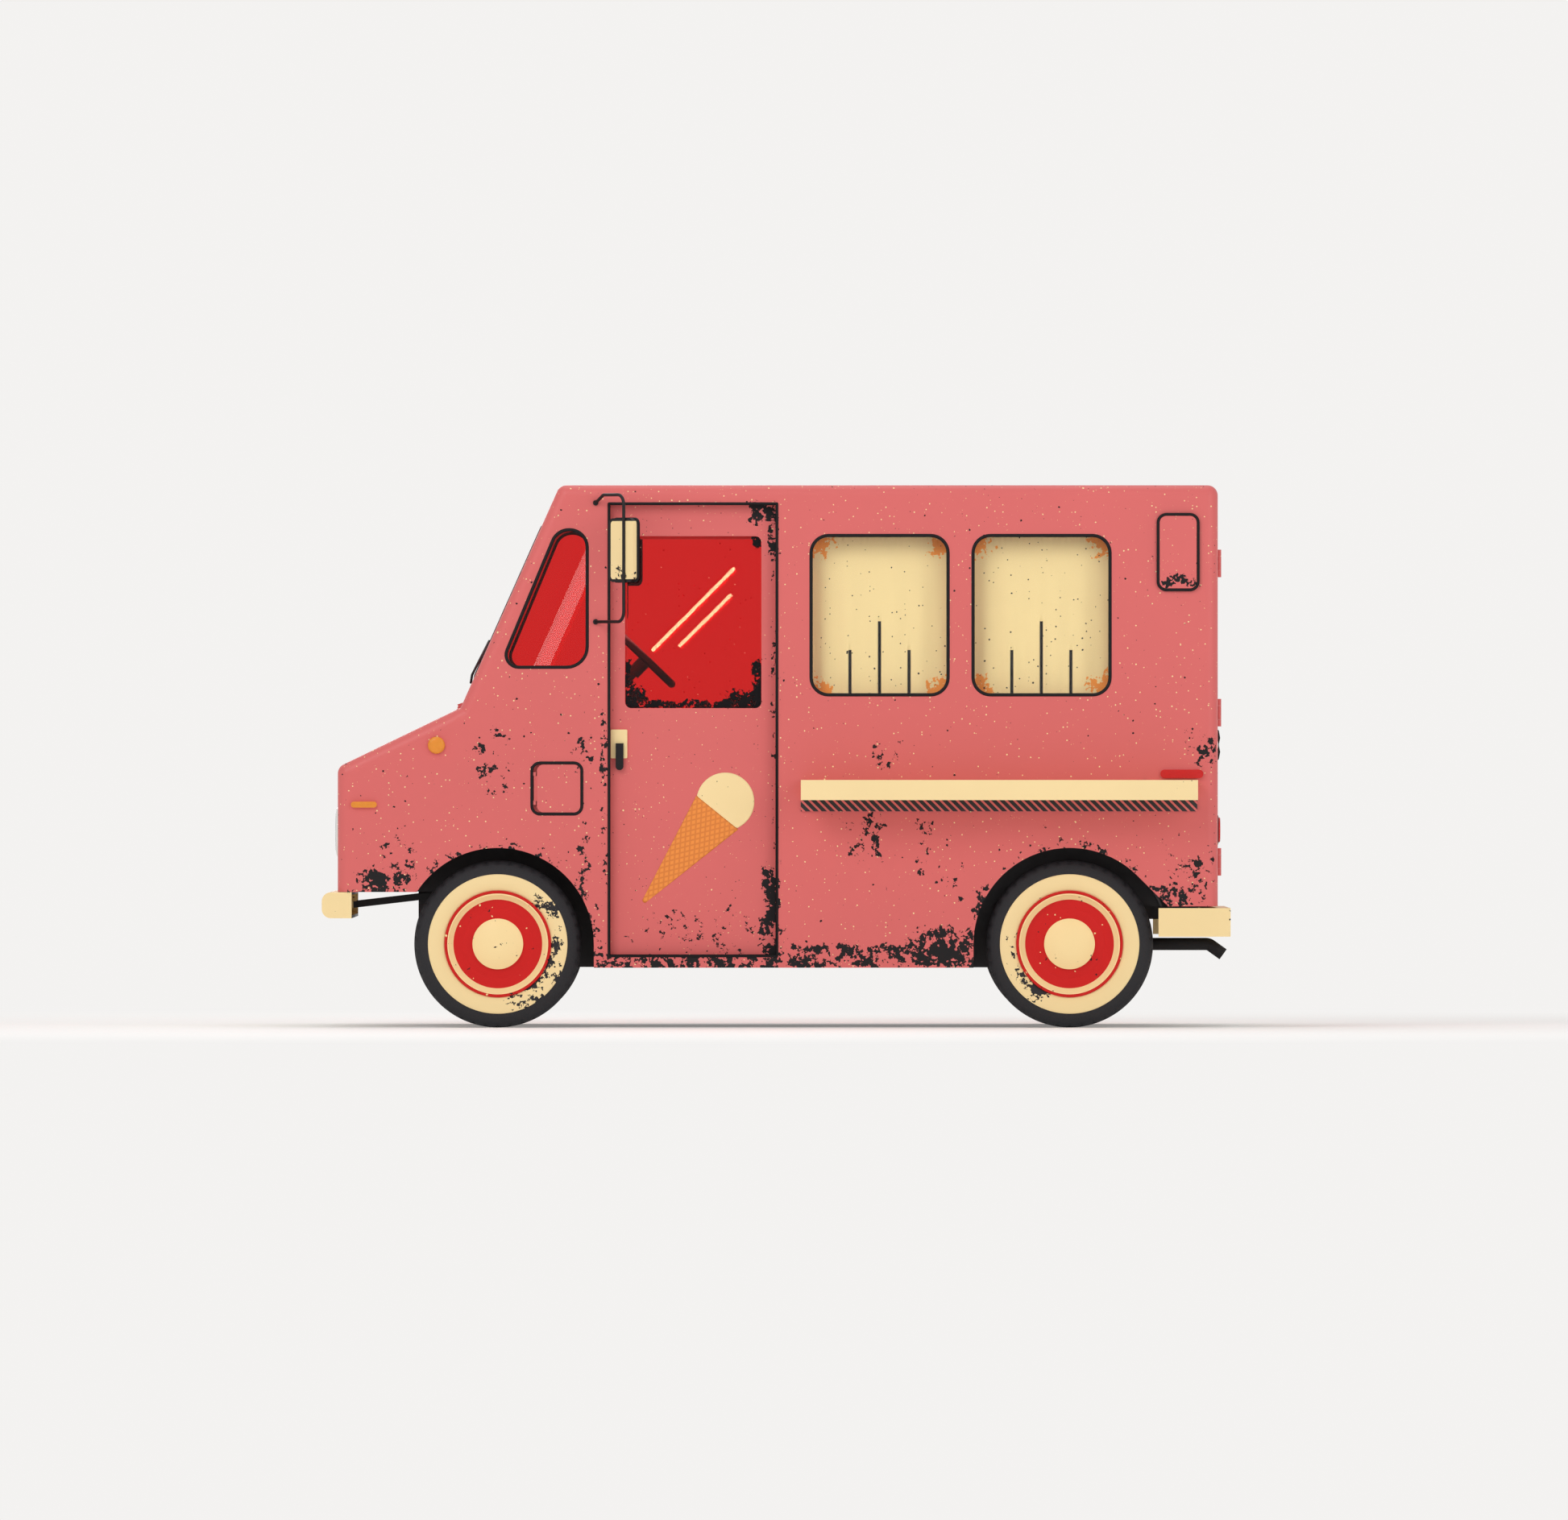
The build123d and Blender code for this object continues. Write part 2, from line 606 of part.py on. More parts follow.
def screen_frame(depth):
    """A plane on the windscreen, x across the van and y up the slope."""
    x, z = screen_point(0, depth)
    out = (math.sin(SCREEN_SLOPE), 0, math.cos(SCREEN_SLOPE))
    return Plane(origin=(x, 0, z), x_dir=(0, 1, 0), z_dir=out)


def screen_panes(shrink):
    """The two panes' outlines on the screen's plane."""
    low, high = SCREEN_S
    inner, outer = SCREEN_POST / 2, HALF_W - SCREEN_PILLAR
    size = (outer - inner - 2 * shrink, high - low - 2 * shrink)
    pane = RectangleRounded(*size, SCREEN_R - shrink)
    middle = ((inner + outer) / 2, (low + high) / 2)
    return [Pos(side * middle[0], middle[1]) * pane for side in (1, -1)]


def hood_axis():
    """Hood's hinge line: over the seam at the cowl, clear of both faces."""
    return hood_point(PANEL_GAP + HOOD_HINGE_R, -HOOD_HINGE_R - 1)


def screen_panel():
    """Windscreen surround with the cowl corner, two openings and the hood's hinge lugs."""
    panel = (SHELL & SCREEN_ZONE) - ROOF_ZONE
    for outline in screen_panes(0):
        panel -= extrude(screen_frame(-WALL) * outline, amount=-3 * WALL)
    x, z = hood_axis()
    over = PANEL_GAP + HOOD_HINGE_R
    root = screen_point(5 * HOOD_HINGE_R, 2)
    foot = polygon(hood_point(over, -2), hood_point(0, -2), root, hood_point(over, -2 * over))
    for y in (-HOOD_HINGE_Y, HOOD_HINGE_Y):
        for low, high in ((y - HINGE_H, y - HINGE_H / 2 - FIT), (y + HINGE_H / 2 + FIT, y + HINGE_H)):
            panel += across(x, z, (low, high), HOOD_HINGE_R)
            panel += slab(foot, (low, high))
    return panel


def windscreen():
    return [extrude(screen_frame(WALL / 2) * pane, amount=GLASS_T) for pane in screen_panes(FIT)]


def nose_panel():
    """Flat front with round corners, open for the grille and the headlamps."""
    panel = SHELL & NOSE_ZONE
    through = (NOSE_X - 2 * WALL, NOSE_X + WALL)
    panel -= block(through, (-GRILLE_HALF_W, GRILLE_HALF_W), GRILLE_Z)
    for y in (-HEADLAMP_Y, HEADLAMP_Y):
        panel -= rod((through[0], y, HEADLAMP_Z), (through[1], y, HEADLAMP_Z), HEADLAMP_R)
    return panel


def hood():
    """Lift-up hood, hinged at the cowl."""
    leaf = SHELL & hood_zone(HOOD_HALF_W, PANEL_GAP)
    x, z = hood_axis()
    root = hood_point(5 * HOOD_HINGE_R, WALL / 4)
    foot = polygon((x, z), root, hood_point(6 * HOOD_HINGE_R, -1))
    for y in (-HOOD_HINGE_Y, HOOD_HINGE_Y):
        barrel = (y - HINGE_H / 2, y + HINGE_H / 2)
        leaf += across(x, z, barrel, HOOD_HINGE_R)
        leaf += slab(foot, barrel)
    return leaf


def grille():
    """A frame of level bars that fills the opening in the nose."""
    back = NOSE_X - WALL / 2
    depth = (back - GRILLE_T, back)
    low, high = GRILLE_Z
    frame = block(depth, (-GRILLE_HALF_W, GRILLE_HALF_W), GRILLE_Z)
    inside_y = (GRILLE_RIM - GRILLE_HALF_W, GRILLE_HALF_W - GRILLE_RIM)
    frame -= block((-FAR, FAR), inside_y, (low + GRILLE_RIM, high - GRILLE_RIM))
    pitch = (high - low) / (GRILLE_BARS + 1)
    for bar in range(1, GRILLE_BARS + 1):
        z = low + bar * pitch
        bar_z = (z - GRILLE_BAR_H / 2, z + GRILLE_BAR_H / 2)
        frame += block(depth, (GRILLE_RIM / 2 - GRILLE_HALF_W, GRILLE_HALF_W - GRILLE_RIM / 2), bar_z)
    return frame


def headlamp():
    """A round lamp set through the nose, with a shallow dome."""
    radius = HEADLAMP_R - FIT
    middle = (HEADLAMP_Y, HEADLAMP_Z)
    body = rod((NOSE_X - WALL, *middle), (NOSE_X + LAMP_PROUD, *middle), radius)
    rim = body.edges().sort_by(Axis.X)[-1]
    return fillet(rim, LAMP_PROUD - 1)


# Fixed glass in the sides

def side_panes():
    """Quarter and serving panes, in the middle of the wall."""
    y = (HALF_W - WALL / 2 - GLASS_T, HALF_W - WALL / 2)
    panes = [slab(quarter_outline(FIT), y)]
    for low, high in SERVING_X:
        outline = rounded((low + FIT, high - FIT), (SERVING_Z[0] + FIT, SERVING_Z[1] - FIT), SERVING_R - FIT)
        panes.append(slab(outline, y))
    return panes


# Rear of the body

def rear_leaf_y():
    """Inner and outer edge of the left rear door."""
    return PANEL_GAP / 2, REAR_DOOR_Y - PANEL_GAP


def hinge_axis_x():
    return REAR_X - HINGE_R - 1


def knuckle(z, y, radius):
    """A hinge knuckle on the left rear door's axis."""
    axis_y = REAR_DOOR_Y - PANEL_GAP / 2
    return rod((hinge_axis_x(), axis_y, z[0]), (hinge_axis_x(), axis_y, z[1]), radius) + block(
        (REAR_X - HINGE_T, REAR_X), y, z
    )


def rear_frame():
    """Rear wall and corner posts round the doorway, with the fixed half of each hinge."""
    frame = SHELL & REAR_ZONE
    frame -= block((-FAR, REAR_X + WALL + EDGE_R), (-REAR_DOOR_Y, REAR_DOOR_Y), REAR_DOOR_Z)
    leaf_y = (REAR_DOOR_Y, REAR_DOOR_Y + HINGE_LEAF)
    for mid in REAR_HINGE_Z:
        for z in ((mid - HINGE_H, mid - HINGE_H / 2 - FIT), (mid + HINGE_H / 2 + FIT, mid + HINGE_H)):
            lug = knuckle(z, leaf_y, HINGE_R)
            frame = frame + lug + other_side(lug)
    return frame


def rear_door():
    """Left rear door with its window and its half of each hinge."""
    y = rear_leaf_y()
    z = (REAR_DOOR_Z[0] + PANEL_GAP, REAR_DOOR_Z[1] - PANEL_GAP)
    leaf = block((REAR_X, REAR_X + WALL), y, z)
    leaf -= rear_pane(0, (REAR_X - WALL, REAR_X + 2 * WALL))
    for mid in REAR_HINGE_Z:
        leaf += knuckle((mid - HINGE_H / 2, mid + HINGE_H / 2), (y[1] - HINGE_LEAF, y[1]), HINGE_R)
    return leaf


def rear_pane(shrink, x):
    """The rear door's window opening, or its pane drawn in by a shrink."""
    width = REAR_WINDOW_Y[1] - REAR_WINDOW_Y[0] - 2 * shrink
    height = REAR_WINDOW_Z[1] - REAR_WINDOW_Z[0] - 2 * shrink
    outline = Pos(sum(REAR_WINDOW_Y) / 2, sum(REAR_WINDOW_Z) / 2) * RectangleRounded(
        width, height, REAR_WINDOW_R - shrink
    )
    return extrude(Plane.YZ.offset(x[0]) * outline, amount=x[1] - x[0])


def rear_glass():
    middle = REAR_X + WALL / 2
    return rear_pane(FIT, (middle - GLASS_T / 2, middle + GLASS_T / 2))


# Side doors

def door_size():
    """Door's X and Z range: past its opening by a lap, and a fit clear of its rails."""
    x = (DOOR_REAR_X - DOOR_LAP, DOOR_FRONT_X + DOOR_LAP)
    return x, (DOOR_BOTTOM_Z - DOOR_LAP, DOOR_TOP_Z + DOOR_LAP)


def side_door():
    x, z = door_size()
    leaf = block(x, (DOOR_IN_Y, DOOR_OUT_Y), z)
    window = rounded(DOOR_WINDOW_X, DOOR_WINDOW_Z, DOOR_WINDOW_R)
    return leaf - slab(window, (DOOR_IN_Y - WALL, DOOR_OUT_Y + WALL))


def door_glass():
    x = (DOOR_WINDOW_X[0] + FIT, DOOR_WINDOW_X[1] - FIT)
    z = (DOOR_WINDOW_Z[0] + FIT, DOOR_WINDOW_Z[1] - FIT)
    middle = (DOOR_IN_Y + DOOR_OUT_Y) / 2
    return slab(rounded(x, z, DOOR_WINDOW_R - FIT), (middle - GLASS_T / 2, middle + GLASS_T / 2))


def door_handle():
    """A plate with a hanging lever, square at its top and round at its tip, near the door's front edge."""
    plate = slab(rounded(HANDLE_X, HANDLE_Z, HANDLE_T / 2), (DOOR_OUT_Y, DOOR_OUT_Y + HANDLE_T))
    middle = sum(HANDLE_X) / 2 - LEVER_T / 5
    lever_x = (middle - LEVER_W / 2, middle + LEVER_W / 2)
    proud = DOOR_OUT_Y + HANDLE_T + LEVER_PROUD
    lever = slab(rounded(lever_x, LEVER_Z, LEVER_W / 2 - 1), (proud - LEVER_T, proud))
    lever += block(lever_x, (proud - LEVER_T, proud), (sum(LEVER_Z) / 2, LEVER_Z[1]))
    stem_z = LEVER_Z[1] - LEVER_W / 2
    return plate + lever + across(middle, stem_z, (DOOR_OUT_Y, proud), LEVER_W / 3)


def door_rail(door_edge_z, side):
    """A channel fixed to the wall that the door's edge runs in; side is +1 above, -1 below."""
    x, _ = door_size()
    run = (x[0] - DOOR_TRAVEL - DOOR_LAP, x[1])
    near = door_edge_z + side * FIT
    base_z = sorted((near, near + side * RAIL_BASE))
    lip_y = (DOOR_IN_Y - PANEL_GAP - RAIL_LIP, DOOR_IN_Y - PANEL_GAP)
    lip_z = sorted((near - side * DOOR_LAP, near + side * RAIL_BASE))
    return block(run, (lip_y[0], INNER_Y), base_z) + block(run, lip_y, lip_z)


# Running gear

def wheel_profile():
    """Half section of wheel, hub cap and brake drum: radius in X, outward in Y."""
    face = RIM_W / 2
    seat = face - FLANGE_T
    bore = SPINDLE_R + FIT
    cap = face - HUBCAP_SINK
    cap_edge = cap - HUBCAP_H
    disc = face - DISC_SINK
    inside = disc - DISC_DISH - DISC_T
    barrel = SEAT_R - RIM_T
    drum = DRUM_SINK - face
    dome = ThreePointArc((bore, cap), (HUBCAP_R * 0.62, cap - HUBCAP_H * 0.3), (HUBCAP_R, cap_edge))
    lip = RIM_R - RIM_LIP
    pressing = Polyline(
        (HUBCAP_R, cap_edge), (HUBCAP_R, disc), ((HUBCAP_R + DISC_R) / 2, disc - DISC_DISH), (DISC_R, disc),
        (lip, seat), (lip + RIM_LIP * 0.3, face), (lip + RIM_LIP * 0.8, face), (RIM_R, seat + FLANGE_T / 3),
        (RIM_R, seat), (SEAT_R, seat), (SEAT_R, -seat), (RIM_R, -seat), (RIM_R, -face), (lip, -face),
        (barrel, -seat), (barrel, inside), (DRUM_R, inside), (DRUM_R, drum), (bore, drum), (bore, cap),
    )
    return make_face([dome, pressing])


def wheel():
    """A pressed wheel about its own middle, bored for the spindle and closed by its cap."""
    cap = Plane.XZ.offset(HUBCAP_SINK + HUBCAP_T - RIM_W / 2) * Circle(SPINDLE_R + FIT)
    return revolve(wheel_profile(), axis=Axis.Y) + extrude(cap, amount=-HUBCAP_T)


def tyre():
    """A tyre about its own middle: beads on the seat, bulging walls and a low crown."""
    seat = RIM_W / 2 - FLANGE_T
    half = TYRE_W / 2
    bead = (RIM_R + BEAD_H, seat + BEAD_SWELL)
    widest = (TYRE_R - WALL_H, half)
    shoulder = (TYRE_R - CROWN_H - SHOULDER_H, half - SHOULDER_W)
    tread = (TYRE_R - CROWN_H, TREAD_W / 2)

    def inner(point):
        return point[0], -point[1]

    outline = [
        Polyline((SEAT_R, seat), (RIM_R + 1, seat), bead),
        ThreePointArc(bead, widest, shoulder),
        Line(shoulder, tread),
        ThreePointArc(tread, (TYRE_R, 0), inner(tread)),
        Line(inner(tread), inner(shoulder)),
        ThreePointArc(inner(shoulder), inner(widest), inner(bead)),
        Polyline(inner(bead), (RIM_R + 1, -seat), (SEAT_R, -seat), (SEAT_R, seat)),
    ]
    return revolve(make_face(outline), axis=Axis.Y)


def spindle(axle_x, inner_y):
    """Backing plate and stub shaft that carry a left wheel, back to an inner face."""
    face = WHEEL_Y - RIM_W / 2 + DRUM_SINK - FIT
    end = WHEEL_Y + RIM_W / 2 - HUBCAP_SINK - HUBCAP_T - FIT
    shaft = across(axle_x, AXLE_Z, (face, end), SPINDLE_R)
    plate = across(axle_x, AXLE_Z, (face - PLATE_T, face), DRUM_R)
    return shaft + plate + across(axle_x, AXLE_Z, (inner_y, face), AXLE_R)


def kingpin(z, radius):
    """A round bar on the left kingpin's axis between two heights."""
    return rod((FRONT_AXLE_X, KINGPIN_Y, z[0]), (FRONT_AXLE_X, KINGPIN_Y, z[1]), radius)


def steering_knuckle():
    """Left knuckle: an ear above and below the axle's eye, joined outboard to the spindle."""
    web_y = (KINGPIN_Y + EYE_R + PANEL_GAP, WHEEL_Y - RIM_W / 2)
    x = (FRONT_AXLE_X - EYE_R, FRONT_AXLE_X + EYE_R)
    piece = spindle(FRONT_AXLE_X, web_y[0])
    near = EYE_H / 2 + FIT
    reach = near + EAR_H
    piece += block(x, web_y, (AXLE_Z - reach, AXLE_Z + reach))
    for z in ((AXLE_Z - reach, AXLE_Z - near), (AXLE_Z + near, AXLE_Z + reach)):
        piece += kingpin(z, EYE_R) + block(x, (KINGPIN_Y, web_y[1]), z)
    return piece - kingpin((AXLE_Z - 2 * reach, AXLE_Z + 2 * reach), KINGPIN_R + FIT)


def front_axle():
    """A dropped beam with an eye and a fixed kingpin at each end."""
    half = AXLE_R * 0.8
    x = (FRONT_AXLE_X - half, FRONT_AXLE_X + half)
    beam = block(x, (-KINGPIN_Y, KINGPIN_Y), (AXLE_Z - half, AXLE_Z + half))
    pad = block(x, (RAIL_Y - RAIL_W / 2, RAIL_Y + RAIL_W / 2), (AXLE_Z, AXLE_Z + AXLE_R))
    reach = EYE_H / 2 + FIT + EAR_H
    eye = kingpin((AXLE_Z - EYE_H / 2, AXLE_Z + EYE_H / 2), EYE_R)
    eye += kingpin((AXLE_Z - reach, AXLE_Z + reach), KINGPIN_R)
    return beam + pad + other_side(pad) + eye + other_side(eye)


def rear_axle():
    """Live axle: tubes, the differential's bulge, pads for the springs and the propeller shaft."""
    half = spindle(REAR_AXLE_X, 0)
    half += block(
        (REAR_AXLE_X - AXLE_R, REAR_AXLE_X + AXLE_R), (RAIL_Y - RAIL_W / 2, RAIL_Y + RAIL_W / 2),
        (AXLE_Z, AXLE_Z + AXLE_R),
    )
    axle = half + other_side(half)
    axle += Pos(REAR_AXLE_X, 0, AXLE_Z) * Sphere(DIFF_R)
    tail = shaft_front()
    return axle + rod((REAR_AXLE_X, 0, AXLE_Z), (tail[0] - PANEL_GAP, 0, tail[2]), SHAFT_R)


def shaft_front():
    """Rear end of the gearbox, where the propeller shaft starts."""
    return ENGINE_X[0] - GEARBOX_L, 0, ENGINE_Z[0] + GEARBOX_R / 2


def leaf_spring(axle_x):
    """A pack of leaves on the axle's pad under the left rail, hung from it at both ends."""
    base = AXLE_Z + AXLE_R
    y = (RAIL_Y - RAIL_W / 2, RAIL_Y + RAIL_W / 2)
    pack = None
    for row, half in enumerate(reversed(SPRING_LEAVES)):
        z = (base + row * SPRING_T, base + (row + 1) * SPRING_T)
        leaf = block((axle_x - half, axle_x + half), y, z)
        pack = leaf if pack is None else pack + leaf
    top = base + SPRING_T * len(SPRING_LEAVES)
    eye = SPRING_T * 1.5
    for x in (axle_x - SPRING_LEAVES[0] + eye, axle_x + SPRING_LEAVES[0] - eye):
        pack += block((x - eye, x + eye), y, (top - SPRING_T, RAIL_LOW_Z))
    return pack


def frame_rail():
    """Left frame rail: a channel open towards the middle."""
    x = (RAIL_REAR_X, RAIL_FRONT_X)
    y = (RAIL_Y - RAIL_W / 2, RAIL_Y + RAIL_W / 2)
    hollow = block((-FAR, FAR), (-FAR, y[1] - RAIL_T), (RAIL_LOW_Z + RAIL_T, RAIL_TOP_Z - RAIL_T))
    return block(x, y, (RAIL_LOW_Z, RAIL_TOP_Z)) - hollow


def chassis():
    """Ladder frame: two rails and the members between their webs."""
    frame = frame_rail()
    frame += other_side(frame)
    inner = RAIL_Y + RAIL_W / 2 - RAIL_T / 2
    for x in CROSS_X:
        frame += block((x - RAIL_W / 2, x + RAIL_W / 2), (-inner, inner), (RAIL_TOP_Z - CROSS_H, RAIL_TOP_Z))
    return frame


def engine():
    """Engine as one plain block with its gearbox."""
    body = block(ENGINE_X, (-ENGINE_Y, ENGINE_Y), ENGINE_Z)
    tail = shaft_front()
    return body + rod(tail, (ENGINE_X[0], 0, tail[2]), GEARBOX_R)


def engine_mounts():
    """Arms from the engine to the rails."""
    y = (ENGINE_Y, RAIL_Y + RAIL_W / 2 - RAIL_T)
    middle = sum(ENGINE_X) / 2
    z = (RAIL_LOW_Z + RAIL_T, RAIL_LOW_Z + RAIL_T + CROSS_H)
    return block((middle - RAIL_W, middle + RAIL_W), y, z)


def exhaust():
    """Pipe from the engine under the left rail, silencer, and a tail pipe over the rear axle."""
    over = AXLE_Z + AXLE_R + 2 * EXHAUST_R
    low = RAIL_LOW_Z - 2 * EXHAUST_R
    front = ENGINE_X[0] + RAIL_W
    out = ENGINE_Y + EXHAUST_R
    can_x = (SILENCER_X - SILENCER_L / 2, SILENCER_X + SILENCER_L / 2)
    pipe_y = (RAIL_Y + RAIL_W / 2 + STEP_Y - STEP_T) / 2
    lead = tube(
        [(front, out, ENGINE_Z[0] + 2 * EXHAUST_R), (front - LEAD_RUN[0], out, low),
         (front - LEAD_RUN[1], pipe_y, low), (can_x[1] + LEAD_IN, pipe_y, low), (can_x[1], EXHAUST_Y, low)],
        [EXHAUST_BEND_R] * 3, EXHAUST_R,
    )
    hop = [REAR_AXLE_X + shift for shift in TAIL_HOP]
    end = REAR_BUMPER_X[0]
    corners = zip(hop, (low, over, over, EXHAUST_Z))
    tail = tube(
        [(can_x[0], EXHAUST_Y, low), *[(x, EXHAUST_Y, z) for x, z in corners],
         (end + TIP_L, EXHAUST_Y, EXHAUST_Z), (end + EXHAUST_R, EXHAUST_Y, EXHAUST_Z - TIP_DROP)],
        [TAIL_BEND_R] * 4 + [TIP_BEND_R], EXHAUST_R,
    )
    pipe = lead + tail + rod((can_x[0], EXHAUST_Y, low), (can_x[1], EXHAUST_Y, low), SILENCER_R)
    strap_y = (EXHAUST_Y - HANGER_T / 2, EXHAUST_Y + HANGER_T / 2)
    for x, z in ((SILENCER_X, low), (REAR_AXLE_X - HANGER_BACK, over)):
        pipe += block((x - HANGER_W / 2, x + HANGER_W / 2), strap_y, (z, RAIL_TOP_Z))
    return pipe


def fuel_tank():
    """Tank on the right, with a strap up to the floor at each end."""
    tank = block(TANK_X, TANK_Y, TANK_Z)
    tank = fillet(tank.edges().filter_by(Axis.X), EDGE_R)
    strap_y = (TANK_Y[0] + RAIL_W, TANK_Y[1] - RAIL_W)
    for x in (TANK_X[0] + RAIL_W, TANK_X[1] - 2 * RAIL_W):
        tank += block((x, x + RAIL_W), strap_y, (TANK_Z[1] - 1, RAIL_TOP_Z))
    return tank


# Floor, housings and firewall

def housing_envelope(axle_x, radius, y, cabin_side):
    """The outside of a wheel housing; cabin_side is the X direction towards the middle of the van."""
    low = SILL_Z
    skirt = FRONT_SKIRT_Z if cabin_side < 0 else REAR_SKIRT_Z
    solid = slab(arch_outline(axle_x, radius, low), y)
    outer = (axle_x, FAR) if cabin_side < 0 else (-FAR, axle_x)
    return solid - block((-FAR, FAR), (-FAR, FAR), (-FAR, low)) - block(outer, (-FAR, FAR), (-FAR, skirt))


def wheel_housing(axle_x, inner_y, cabin_side):
    """A curved liner from the wall in to a flat inner plate, open for the axle."""
    liner = housing_envelope(axle_x, HOUSING_R + HOUSING_T, (inner_y, INNER_Y), cabin_side)
    liner -= housing_envelope(axle_x, HOUSING_R, (inner_y - 1, INNER_Y + 1), cabin_side)
    liner -= block((axle_x - HOUSING_R, axle_x + HOUSING_R), (-FAR, FAR), (-FAR, AXLE_Z))
    plate = housing_envelope(axle_x, HOUSING_R + HOUSING_T, (inner_y - HOUSING_T, inner_y), cabin_side)
    axle_x = (axle_x - HOUSING_OPEN, axle_x + HOUSING_OPEN)
    return liner + (plate - block(axle_x, (-FAR, FAR), (-FAR, RAIL_TOP_Z - CROSS_H)))


# Axle, inner face and direction to the cabin of each left housing
HOUSINGS = ((FRONT_AXLE_X, FRONT_HOUSING_Y, -1), (REAR_AXLE_X, REAR_HOUSING_Y, 1))


def clear_of_housings(solid):
    """A solid cut back a fit from all four wheel housings."""
    radius = HOUSING_R + HOUSING_T + FIT
    for axle_x, inner_y, cabin_side in HOUSINGS:
        room = housing_envelope(axle_x, radius, (inner_y - HOUSING_T - FIT, HALF_W), cabin_side)
        solid = solid - room - other_side(room)
    return solid


def door_pocket():
    """The strip inside the left wall that the door slides in, and its step well."""
    x, _ = door_size()
    lip = DOOR_IN_Y - PANEL_GAP - RAIL_LIP
    strip = block((x[0] - DOOR_TRAVEL - 2 * DOOR_LAP, x[1] + PANEL_GAP), (lip, FAR), (-FAR, FAR))
    well = block((DOOR_REAR_X, DOOR_FRONT_X), (STEP_Y - STEP_T, FAR), (-FAR, FAR))
    return strip + well


def step_well():
    """Left step: a tread at the door's sill and a riser up to the floor, with two ends."""
    tread_z = (DOOR_BOTTOM_Z - DOOR_LAP - FIT - RAIL_BASE, DOOR_BOTTOM_Z - DOOR_LAP - FIT)
    y = (STEP_Y - STEP_T, DOOR_IN_Y - PANEL_GAP - RAIL_LIP)
    outside = block((DOOR_REAR_X, DOOR_FRONT_X), y, (tread_z[0], FLOOR_Z))
    room = block((DOOR_REAR_X + STEP_T, DOOR_FRONT_X - STEP_T), (STEP_Y, FAR), (tread_z[1], FAR))
    return outside - room


def engine_room(grow):
    """The space that the engine's cover encloses, in plan and height."""
    y = ENGINE_Y + COVER_GAP + grow
    return block((ENGINE_X[0] - COVER_GAP - grow, FAR), (-y, y), (-FAR, ENGINE_Z[1] + COVER_GAP + grow))


def floor():
    """Floor from the rear wall to the firewall, with both step wells."""
    plate = block((REAR_X + WALL, FIREWALL_X), (-INNER_Y, INNER_Y), (RAIL_TOP_Z, FLOOR_Z))
    plate &= INSIDE
    plate = clear_of_housings(plate) - door_pocket() - other_side(door_pocket()) - engine_room(COVER_T)
    plate -= block((DOOR_FRONT_X, FAR), (FRONT_HOUSING_Y - HOUSING_T - FIT, FAR), (-FAR, FAR))
    plate -= block((DOOR_FRONT_X, FAR), (-FAR, -FRONT_HOUSING_Y + HOUSING_T + FIT), (-FAR, FAR))
    return plate + step_well() + other_side(step_well())


def steer_axis():
    """Unit vector up the column to the driver, in X and Z."""
    tilt = math.radians(STEER_TILT)
    return -math.cos(tilt), math.sin(tilt)


def steer_point(along):
    """A point along the column from the middle of the steering wheel, towards the driver."""
    x, z = steer_axis()
    return STEER_X + along * x, DRIVER_Y, STEER_Z + along * z


def firewall():
    """Wall ahead of the cab with the engine's cover, the dashboard and the steering column."""
    wall = block((FIREWALL_X, FIREWALL_X + FIREWALL_T), (-INNER_Y, INNER_Y), (RAIL_TOP_Z, COWL_Z + WALL))
    wall = clear_of_housings(wall & INSIDE) - engine_room(0)
    cover = engine_room(COVER_T) - engine_room(0)
    cover &= block((-FAR, FIREWALL_X), (-FAR, FAR), (RAIL_TOP_Z, FAR))
    dash = block((FIREWALL_X - DASH_D, FIREWALL_X), (-INNER_Y, INNER_Y), DASH_Z)
    dash = fillet(dash.edges().filter_by(Axis.Y).sort_by(Axis.X)[:2], EDGE_R) & INSIDE
    length = (FIREWALL_X - STEER_X) / -steer_axis()[0]
    column = rod(steer_point(-STEER_R / 2), steer_point(-length), COLUMN_R)
    return wall + cover + dash + column


def steering_wheel():
    """A thin rim on three spokes and a hub that turns on the column."""
    x, z = steer_axis()
    face = Plane(origin=steer_point(0), x_dir=(0, 1, 0), z_dir=(x, 0, z))
    rim = face * Torus(STEER_R - STEER_TUBE_R, STEER_TUBE_R)
    hub = rod(steer_point(-STEER_R / 2 + FIT), steer_point(STEER_TUBE_R), STEER_HUB_R)
    piece = rim + hub
    for turn in (90, 210, 330):
        tip = face * Rot(0, 0, turn) * Pos(STEER_R - STEER_TUBE_R, 0, 0)
        piece += rod(steer_point(0), tuple(tip.position), STEER_SPOKE_R)
    return piece


# Fittings

def seat_frame():
    """Pedestal under the driver's seat and a plate behind its back."""
    y = (DRIVER_Y - SEAT_W / 2, DRIVER_Y + SEAT_W / 2)
    narrow = (y[0] + SEAT_PAD, y[1] - SEAT_PAD)
    base_z = SEAT_TOP_Z - SEAT_PAD
    post = block((SEAT_X[0] + SEAT_PAD, SEAT_X[1] - SEAT_PAD), narrow, (FLOOR_Z, base_z))
    pan = block(SEAT_X, y, (base_z - STEP_T, base_z))
    back_z = (base_z - STEP_T, SEAT_TOP_Z + SEAT_BACK_H - SEAT_PAD)
    return post + pan + block((SEAT_X[0] - STEP_T, SEAT_X[0]), narrow, back_z)


